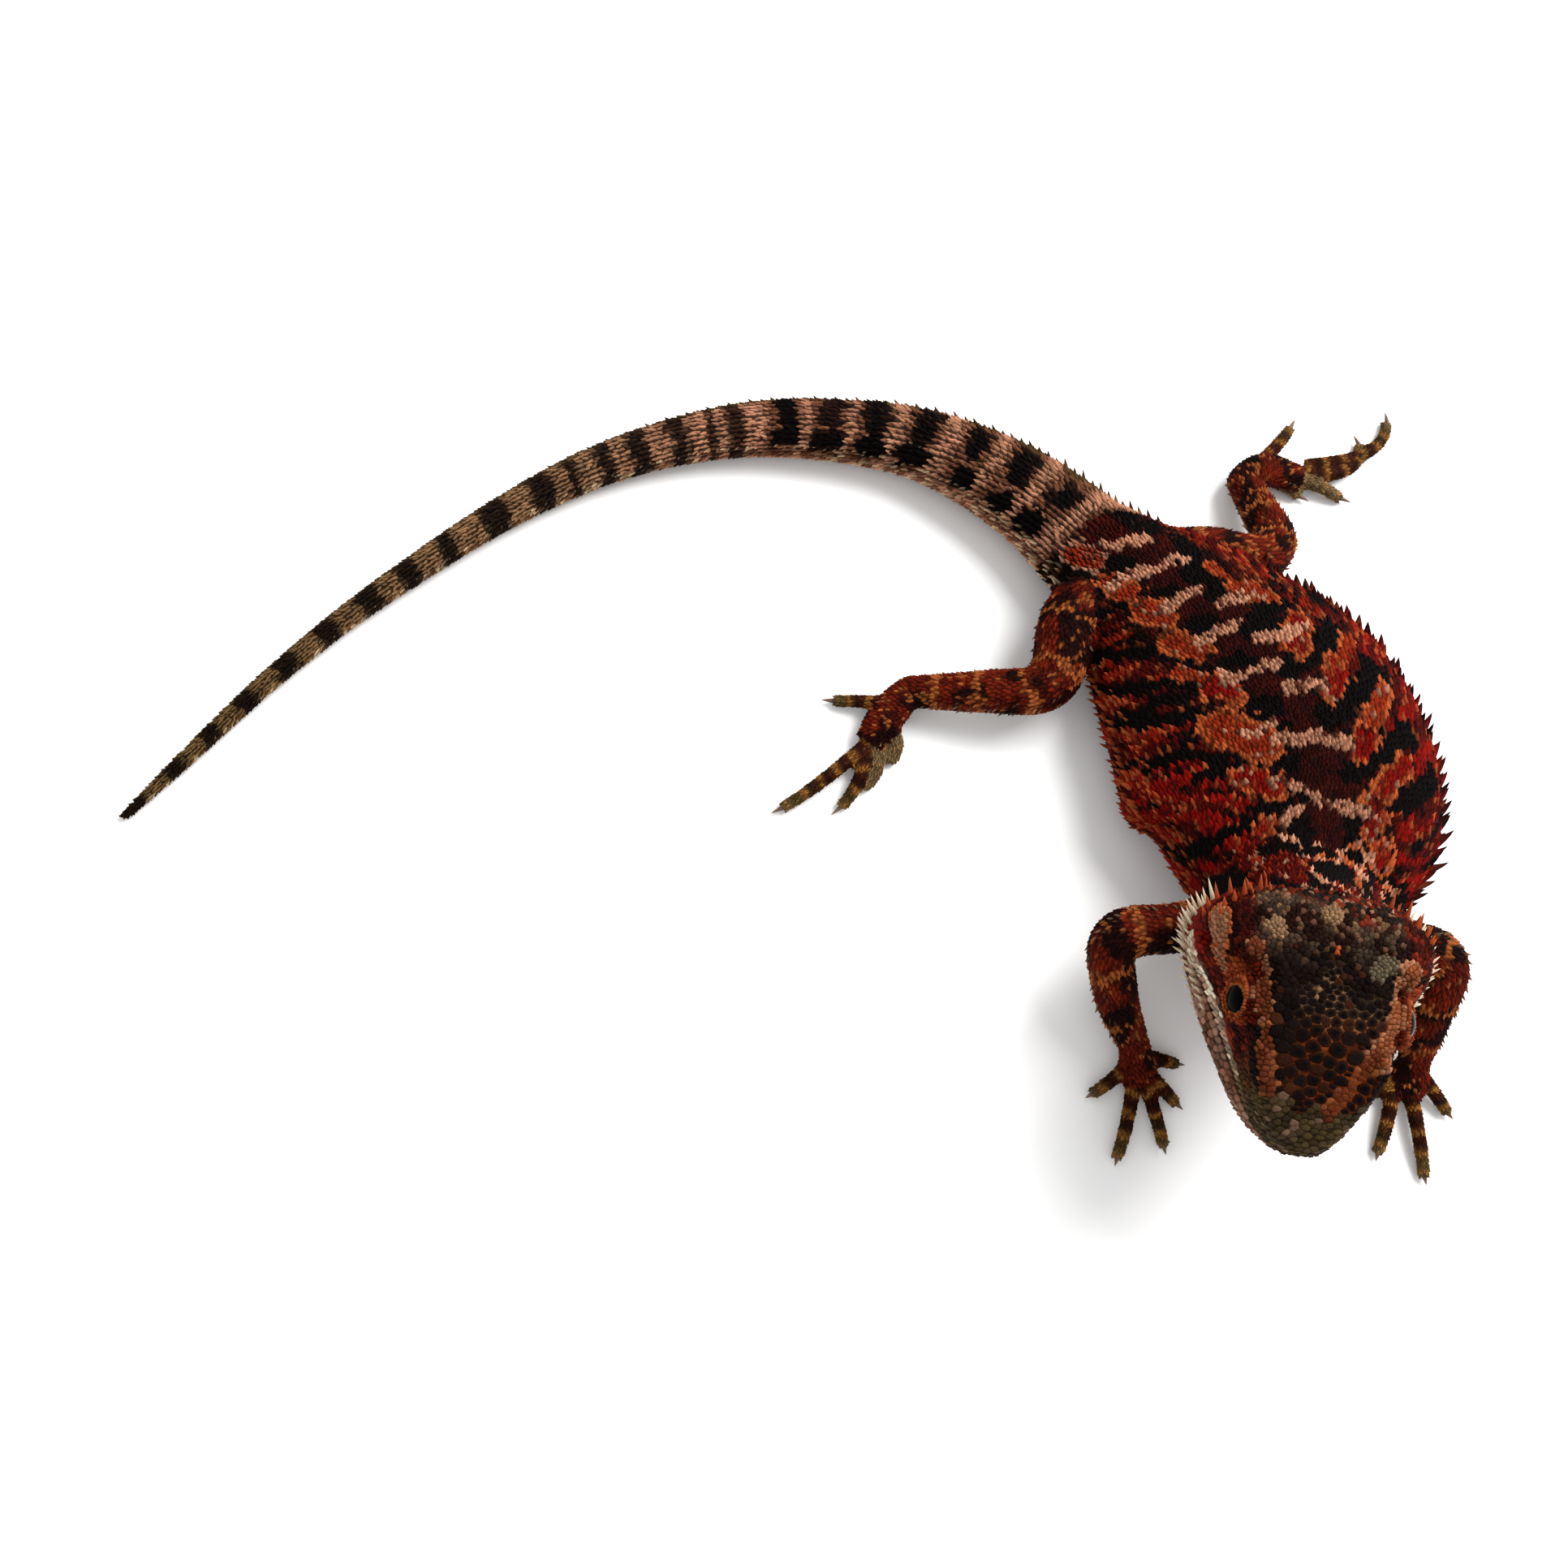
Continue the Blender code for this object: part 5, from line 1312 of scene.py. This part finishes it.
# Rows of spines on the head: the distance forward from and to, the height at each, how many, their
# length at the first and last, their width, and how far back and up they lean. The first five are beard.
HEAD_SPINES = (
    (-1.5, 17.0, -18.5, -19.5, 14, 3.4, 1.2, 1.1, 0.6, 0.0),
    (-1.0, 15.0, -20.6, -20.4, 13, 2.8, 1.0, 1.0, 0.6, 0.0),
    (0.0, 24.0, -23.0, -21.5, 17, 2.6, 0.8, 0.9, 0.5, -0.3),
    (0.5, 18.0, -25.5, -24.0, 11, 2.0, 1.0, 0.9, 0.4, -0.7),
    (0.0, 12.0, -16.6, -17.4, 8, 2.0, 1.0, 0.8, 0.6, 0.1),
    (-2.0, 2.2, -13.5, -13.0, 4, 2.8, 1.6, 1.2, 0.9, 0.2),
    (-2.4, 2.6, -9.0, -7.6, 5, 2.6, 1.4, 1.3, 0.9, 0.5),
)
# Rows across the nape: the distance forward, the height, how many, the row's width, and their length.
NAPE_SPINES = ((4.0, -8.0, 17, 21, 0.8), (3.0, -9.5, 19, 24, 1.0), (2.5, -11.5, 19, 25, 1.2),
               (2.0, -14.0, 19, 26, 1.2))


FLANK_END = 90.0


def body_spines(spines, colours):
    """Rows of spines on both sides of the trunk and tail."""
    for start, end, degrees, spacing, longest, shortest, width in BODY_SPINES:
        count = max(2, round((end - start) / spacing) + 1)
        at = np.linspace(start, end, count)
        rows = smooth_rows(BODY_LINE, at)
        ahead = unit(smooth_rows(BODY_LINE, at + 0.5)[:, :3] * (1, 1, 0) - rows[:, :3] * (1, 1, 0))
        for i, (row, tailward) in enumerate(zip(rows, ahead)):
            length = longest + (shortest - longest) * i / (count - 1)
            for side in (1, -1):
                out = np.cross(tailward, UP) * side
                tilt = math.radians(degrees + RNG.uniform(-3, 3))
                toward = out * math.cos(tilt) + UP * math.sin(tilt)
                grown = length * (1 if i % 2 else 0.75)
                flank, stout = at[i] < FLANK_END, 1.0
                # longer and stouter on the animal's left, where they stand clear of the body
                if side > 0:
                    stout, grown = (1.5, grown * 1.5) if flank else (1.2, grown * 1.25)
                elif flank:
                    grown = min(grown, 1.7)
                spines.grow(row[:3], toward, tailward * 0.7, grown, width * stout,
                            spine_tones(spines, row, toward, colours, side, at[i]), row[3] + 2.5)


def spine_tones(spines, row, toward, colours, side, at):
    """The coat's colour at the root, and a tip that is dark on the animal's left and orange on its right."""
    near = spines.coat.tree.find(Vector(row[:3]) + Vector(toward) * row[3])[1]
    foot = colours[near] * 0.9
    if at < FLANK_END:
        return foot, PAINTS["black"] if side > 0 else PAINTS["orange"] * 0.8 + foot * 0.2
    if side > 0:
        return foot * 0.6, foot * 0.15 + PAINTS["olive"] * 0.25
    return foot, foot * 0.6 + PAINTS["cream"] * 0.35


def head_spines(spines):
    """The beard's spines, the rows behind the ears, and broken rows across the nape."""
    for n, (start, end, low, high, count, longest, shortest, width, back, up) in enumerate(HEAD_SPINES):
        tones = (PAINTS["tan"], PAINTS["bone"]) if n < 5 else (PAINTS["rust"], PAINTS["orange"])
        for share in np.arange(count) / (count - 1):
            forward = start + (end - start) * share
            height = low + (high - low) * share
            length = longest + (shortest - longest) * share
            for side in (1, -1):
                spines.grow(head_point(0.0, forward, height), head_direction(side, 0.0, 0.0),
                            head_direction(0.0, -back, up), length, width, tones)
    for row, (forward, height, count, wide, length) in enumerate(NAPE_SPINES):
        for i in range(count):
            across = (i / (count - 1) - 0.5) * wide + RNG.uniform(-1.6, 1.6)
            tall = 8.5 < across < 13.5
            if RNG.random() < (0.15 if tall else 0.45 + 0.4 * math.sin(across * 1.3 + row)):
                continue
            tones = (PAINTS["deep_red"], PAINTS["rust"]) if (i + row) % 3 else (PAINTS["rose"], PAINTS["bead"])
            if tall:
                tones = (PAINTS["rust"], PAINTS["orange"])
            lean = head_direction(RNG.uniform(-0.4, 0.4), -0.6, 0.0)
            inside = head_point(across, forward, height + RNG.uniform(-1.4, 1.4))
            spines.grow(inside, head_direction(0.0, -1.0, 0.25), lean,
                        length * RNG.uniform(0.3, 1.1) * (1.7 if tall else 1.0), RNG.uniform(0.8, 1.3), tones)


# The row of a limb's line that stands at its elbow or knee.
LIMB_BEND = 2


def limb_spines(spines, forms, colours):
    """Small spines along both edges of each limb, some of them higher."""
    for form in forms:
        if not form.name.startswith(("arm", "leg")):
            continue
        rows = np.array(LIMBS[form.name], float)
        marks = chord_marks(rows)
        outer = unit(rows[LIMB_BEND, :3] * 2 - rows[0, :3] - rows[-1, :3])
        for at in np.arange(marks[1] + 1.0, marks[-1] - 2.0, 1.25):
            at += RNG.uniform(-0.5, 0.5)
            row = smooth_rows(rows, np.array([at]))[0]
            ahead = unit(smooth_rows(rows, np.array([at + 0.5]))[0][:3] - row[:3])
            for word, lift, length in ((1, 0.0, 1.2), (1, 0.5, 0.9), (-1, 0.0, 1.0), (-1, 0.4, 0.7)):
                out = unit(word * (outer - ahead * outer.dot(ahead)) + UP * (lift + RNG.uniform(-0.3, 0.2)))
                near = spines.coat.tree.find(Vector(row[:3]) + Vector(out) * row[3])[1]
                tone = colours[near]
                tip = tone * 0.6 + PAINTS["cream"] * (0.3 if lift < 0.2 else 0.08)
                spines.grow(row[:3], out, ahead * 0.7, length, 0.9, (tone, tip), row[3] + 1.5)


def dress_skin(mesh, coat, paints):
    """The skin takes the rim colour of the scale nearest to it: painted shade, that scale's colour darkened, or
    the crown's real seam colour.
    """
    points = points_of(mesh)
    nearest = [coat.tree.find(place)[1] for place in points]
    # painted shade in the gaps between the scales
    paint_mesh(mesh, paints[1][nearest])
    set_points(mesh, points * MM)
    mesh.shade_smooth()
    mesh.name = "skin"
    return placed("skin", mesh)


# ---- Eyes and claws

# The eye's colours out to these degrees from the gaze: pupil, its bright rim, the fibred iris, the rest.
EYE_RINGS = ((33, (4, 3, 3)), (36, (150, 92, 34)), (58, (112, 44, 12)), (181, (50, 12, 6)))


def build_eye(word, side):
    """A wet ball with a round pupil in an orange iris, turned a little up and ahead."""
    bm = bmesh.new()
    bmesh.ops.create_uvsphere(bm, u_segments=72, v_segments=60, radius=EYE_RADIUS - 0.1)
    marks = bm.verts.layers.float_color.new("markings")
    gaze = Vector((0.1, math.sin(EYE_TILT), math.cos(EYE_TILT))).normalized()
    for v in bm.verts:
        off = v.co.normalized()
        reach = math.degrees(off.angle(gaze))
        turn = math.atan2(off.y - gaze.y, off.x - gaze.x)
        fibre = 0.7 + 0.35 * math.sin(31 * turn) ** 2 + 0.25 * math.sin(13 * turn + 1) ** 2
        ring = next(i for i, (edge, _) in enumerate(EYE_RINGS) if reach < edge)
        colour = paint(*EYE_RINGS[ring][1]) * (fibre if ring == 2 else 1.0)
        v[marks] = (*colour, 1.0)
        v.co = head_point(side * (EYE_CENTRE[0] + v.co.z), EYE_CENTRE[1] + v.co.x, EYE_CENTRE[2] + v.co.y)
    bm.normal_update()
    if side < 0:
        bmesh.ops.reverse_faces(bm, faces=bm.faces[:])
    bmesh.ops.scale(bm, vec=(MM, MM, MM), verts=bm.verts[:])
    return piece_from(bm, "eyeball_" + word)


def build_claws(coat, homes):
    """A curved claw at the end of every toe."""
    spines = Spines(coat)
    for name, (_, _, toes) in FEET.items():
        length = HAND_CLAW_LENGTH if name.startswith("hand") else FOOT_CLAW_LENGTH
        for toe in toes:
            rows, turn = toe_path(*toe)
            end = np.array(rows[-1][:3])
            ahead = np.array((math.sin(turn), -math.cos(turn), 0.0))
            root = end + UP * 0.15
            spines.rows.append((root, unit(ahead + UP * 0.2), UP * -0.8, length, CLAW_WIDTH,
                                PAINTS["dark"] * 1.2, PAINTS["tan"]))
    return spines.made("claws", homes, rings=7, sides=10)


def piece_from(bm, name):
    mesh = bpy.data.meshes.new(name)
    bm.to_mesh(mesh)
    bm.free()
    mesh.shade_smooth()
    return placed(name, mesh)


def grain_group():
    """Fine noise for every material: its mask, and the roughness and relief made from it."""
    group = bpy.data.node_groups.new("fine_grain", "ShaderNodeTree")
    for name in ("Scale", "Detail", "Smoothest", "Roughest", "Relief", "Depth"):
        group.interface.new_socket(name=name, in_out="INPUT", socket_type="NodeSocketFloat")
    for name, kind in (("Grain", "Float"), ("Roughness", "Float"), ("Normal", "Vector")):
        group.interface.new_socket(name=name, in_out="OUTPUT", socket_type="NodeSocket" + kind)
    given, out, where, noise, spread, relief = (group.nodes.new(kind) for kind in (
        "NodeGroupInput", "NodeGroupOutput", "ShaderNodeTexCoord", "ShaderNodeTexNoise", "ShaderNodeMapRange",
        "ShaderNodeBump"))
    for start, output, end, socket in (
            (where, "Object", noise, "Vector"), (given, "Scale", noise, "Scale"),
            (given, "Detail", noise, "Detail"),
            (noise, "Fac", spread, "Value"), (given, "Smoothest", spread, "To Min"),
            (given, "Roughest", spread, "To Max"), (given, "Relief", relief, "Strength"),
            (given, "Depth", relief, "Distance"), (noise, "Fac", relief, "Height"),
            (noise, "Fac", out, "Grain"), (spread, "Result", out, "Roughness"),
            (relief, "Normal", out, "Normal")):
        group.links.new(start.outputs[output], end.inputs[socket])
    return group


def grained_material(name, group, scale, detail, roughness, relief, depth):
    """A material with the fine grain in its roughness and relief, for its colour to be added."""
    finish = bpy.data.materials.new(name)
    finish.use_nodes = True
    nodes, links = finish.node_tree.nodes, finish.node_tree.links
    shader, grain = nodes["Principled BSDF"], nodes.new("ShaderNodeGroup")
    grain.node_tree = group
    for socket, value in zip(grain.inputs, (scale, detail, *roughness, relief, depth)):
        socket.default_value = value
    links.new(grain.outputs["Roughness"], shader.inputs["Roughness"])
    links.new(grain.outputs["Normal"], shader.inputs["Normal"])
    return finish, nodes, links, shader, grain


def scale_material(name, group, roughness, relief, shine, depth=0.0001):
    """The colours of the markings and the painted shade, with the grain laid over them."""
    finish, nodes, links, shader, grain = grained_material(
        name, group, 2600, 3, (roughness - 0.08, roughness + 0.08), relief, depth)
    marks = nodes.new("ShaderNodeAttribute")
    marks.attribute_name = "markings"
    tint = nodes.new("ShaderNodeMix")
    tint.data_type = "RGBA"
    tint.blend_type = "OVERLAY"
    tint.inputs["Factor"].default_value = 0.35
    links.new(marks.outputs["Color"], tint.inputs["A"])
    links.new(grain.outputs["Grain"], tint.inputs["B"])
    links.new(tint.outputs["Result"], shader.inputs["Base Color"])
    shader.inputs["Specular IOR Level"].default_value = shine
    return finish


# ---- Floor, light and camera

CAMERA_PLACE = (-114.6, -78.4, 290.0)
PICTURE = 1932
FOCAL = 1900
UNDER_CAMERA = (800, 1400)


def add_camera():
    """The camera stands where the picture was taken, with the same tilt and angle of view."""
    down = unit(np.array((UNDER_CAMERA[0] - PICTURE / 2, PICTURE / 2 - UNDER_CAMERA[1], -FOCAL), float))
    y = unit(np.array((0.0, 1.0, 0.0)) + down * -down[1])
    x = np.cross(y, -down)
    camera = placed("camera", bpy.data.cameras.new("camera"))
    camera.matrix_world = Matrix.Translation(Vector(CAMERA_PLACE) * MM) @ Matrix((x, y, -down)).to_4x4()
    camera.data.sensor_width = 36
    camera.data.lens = 36 * FOCAL / PICTURE
    camera.data.clip_start = 0.01
    bpy.context.scene.camera = camera


def add_light(name, place, target, size, power, colour):
    light = placed(name, bpy.data.lights.new(name, "AREA"))
    light.data.size = size
    light.data.energy = power
    light.data.color = colour
    light.location = place
    light.rotation_mode = "QUATERNION"
    light.rotation_quaternion = (Vector(target) - Vector(place)).to_track_quat("-Z", "Y")


def add_floor(group):
    bm = bmesh.new()
    bmesh.ops.create_grid(bm, x_segments=1, y_segments=1, size=3.0)
    floor = piece_from(bm, "floor")
    finish, nodes, links, shader, grain = grained_material("white_floor", group, 60, 6, (0.5, 0.7), 0.1, 0.0001)
    white = nodes.new("ShaderNodeMapRange")
    white.inputs["To Min"].default_value = 0.88
    white.inputs["To Max"].default_value = 0.92
    links.new(grain.outputs["Grain"], white.inputs["Value"])
    links.new(white.outputs["Result"], shader.inputs["Base Color"])
    floor.data.materials.append(finish)


def add_world():
    world = bpy.data.worlds.new("studio")
    world.use_nodes = True
    world.node_tree.nodes["Background"].inputs["Color"].default_value = (1, 1, 1, 1)
    world.node_tree.nodes["Background"].inputs["Strength"].default_value = 0.9
    bpy.context.scene.world = world


# Where the coat of trunk and tail is cut into pieces, in millimetres along the body.
BODY_CUTS = (32.0, 58.0, TRUNK_END, 150.0)


def main():
    forms = all_forms()
    by_name = {form.name: form for form in forms}
    skin = build_skin(forms)
    coat = Coat(skin)
    lay_lips(coat, by_name["head"])
    lay_head(coat, by_name["head"])
    for form in forms[1:]:
        lay_rows(coat, form)
    fill_gaps(coat, 110000)
    coat.close()
    homes = chart_homes(coat, forms)
    # each scale's colour, and the colour of its rim and the skin beside it, which is mostly painted shade
    paints = coat_colours(coat)
    body, head = coat.form == "body", coat.form == "head"
    arm, leg, toe = named(coat, "arm", "hand"), named(coat, "leg", "foot"), named(coat, "toe")
    cut = np.searchsorted(BODY_CUTS, coat.along, side="right")
    pieces = {}
    # the scales' height, the lift of their tips, and how far they taper
    for name, slot, chosen, height, lift, sharp in (
            ("back_scales_front", "body_skin", body & (cut == 0), 0.15, 0.16, 0.5),
            ("back_scales_middle", "body_skin", body & (cut == 1), 0.15, 0.2, 0.55),
            ("back_scales_rear", "body_skin", body & (cut == 2), 0.15, 0.2, 0.55),
            ("tail_scales_front", "tail_skin", body & (cut == 3), 0.2, 0.3, 0.5),
            ("tail_scales_rear", "tail_skin", body & (cut == 4), 0.16, 0.2, 0.5),
            ("neck_scales", "body_skin", coat.form == "neck", 0.17, 0.2, 0.55),
            ("arm_scales", "limb_skin", arm & ~toe, 0.14, 0.1, 0.4),
            ("leg_scales", "limb_skin", leg & ~toe, 0.14, 0.1, 0.4),
            ("toe_scales", "limb_skin", toe, 0.08, 0.08, 0.2)):
        pieces[name] = (slot, grow_scales(name, coat, homes, paints, chosen, height, lift, sharp))
    pieces["head_plates"] = ("head_skin", grow_plates("head_plates", coat, homes, paints, head))
    spines = Spines(coat)
    body_spines(spines, paints[0])
    limb_spines(spines, forms, paints[0])
    pieces["body_spines"] = ("body_skin", spines.made("body_spines", homes))
    spines = Spines(coat)
    head_spines(spines)
    pieces["head_spines"] = ("head_skin", spines.made("head_spines", homes))
    pieces["claws"] = ("limb_skin", build_claws(coat, homes))
    pieces["skin"] = ("body_skin", dress_skin(skin, coat, paints))
    flesh = [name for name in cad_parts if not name.startswith("eye")]
    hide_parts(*flesh)
    for word, side in (("right", 1), ("left", -1)):
        eye = build_eye(word, side)
        pieces["eyeball_" + word] = ("eye", eye)
        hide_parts("eye_" + word)
    group = grain_group()
    finish = scale_material("dry_scales", group, 0.66, 0.6, 0.03)
    wet = scale_material("wet_eye", group, 0.1, 0.0, 0.015)
    finishes = {"claws": scale_material("horn", group, 0.35, 0.2, 0.4),
                "head_plates": scale_material("crusty_plates", group, 0.7, 0.9, 0.03, 0.0004),
                "eyeball_right": wet, "eyeball_left": wet}
    for name, (slot, piece) in pieces.items():
        piece.data.materials.append(finishes.get(name, finish))
        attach(piece, "root")
    add_floor(group)
    add_world()
    add_light("window", (0.35, 0.3, 0.6), (0.0, 0.0, 0.0), 0.45, 8.5, (1.0, 0.99, 0.97))
    add_camera()
    bpy.context.scene.view_settings.view_transform = "Standard"


main()
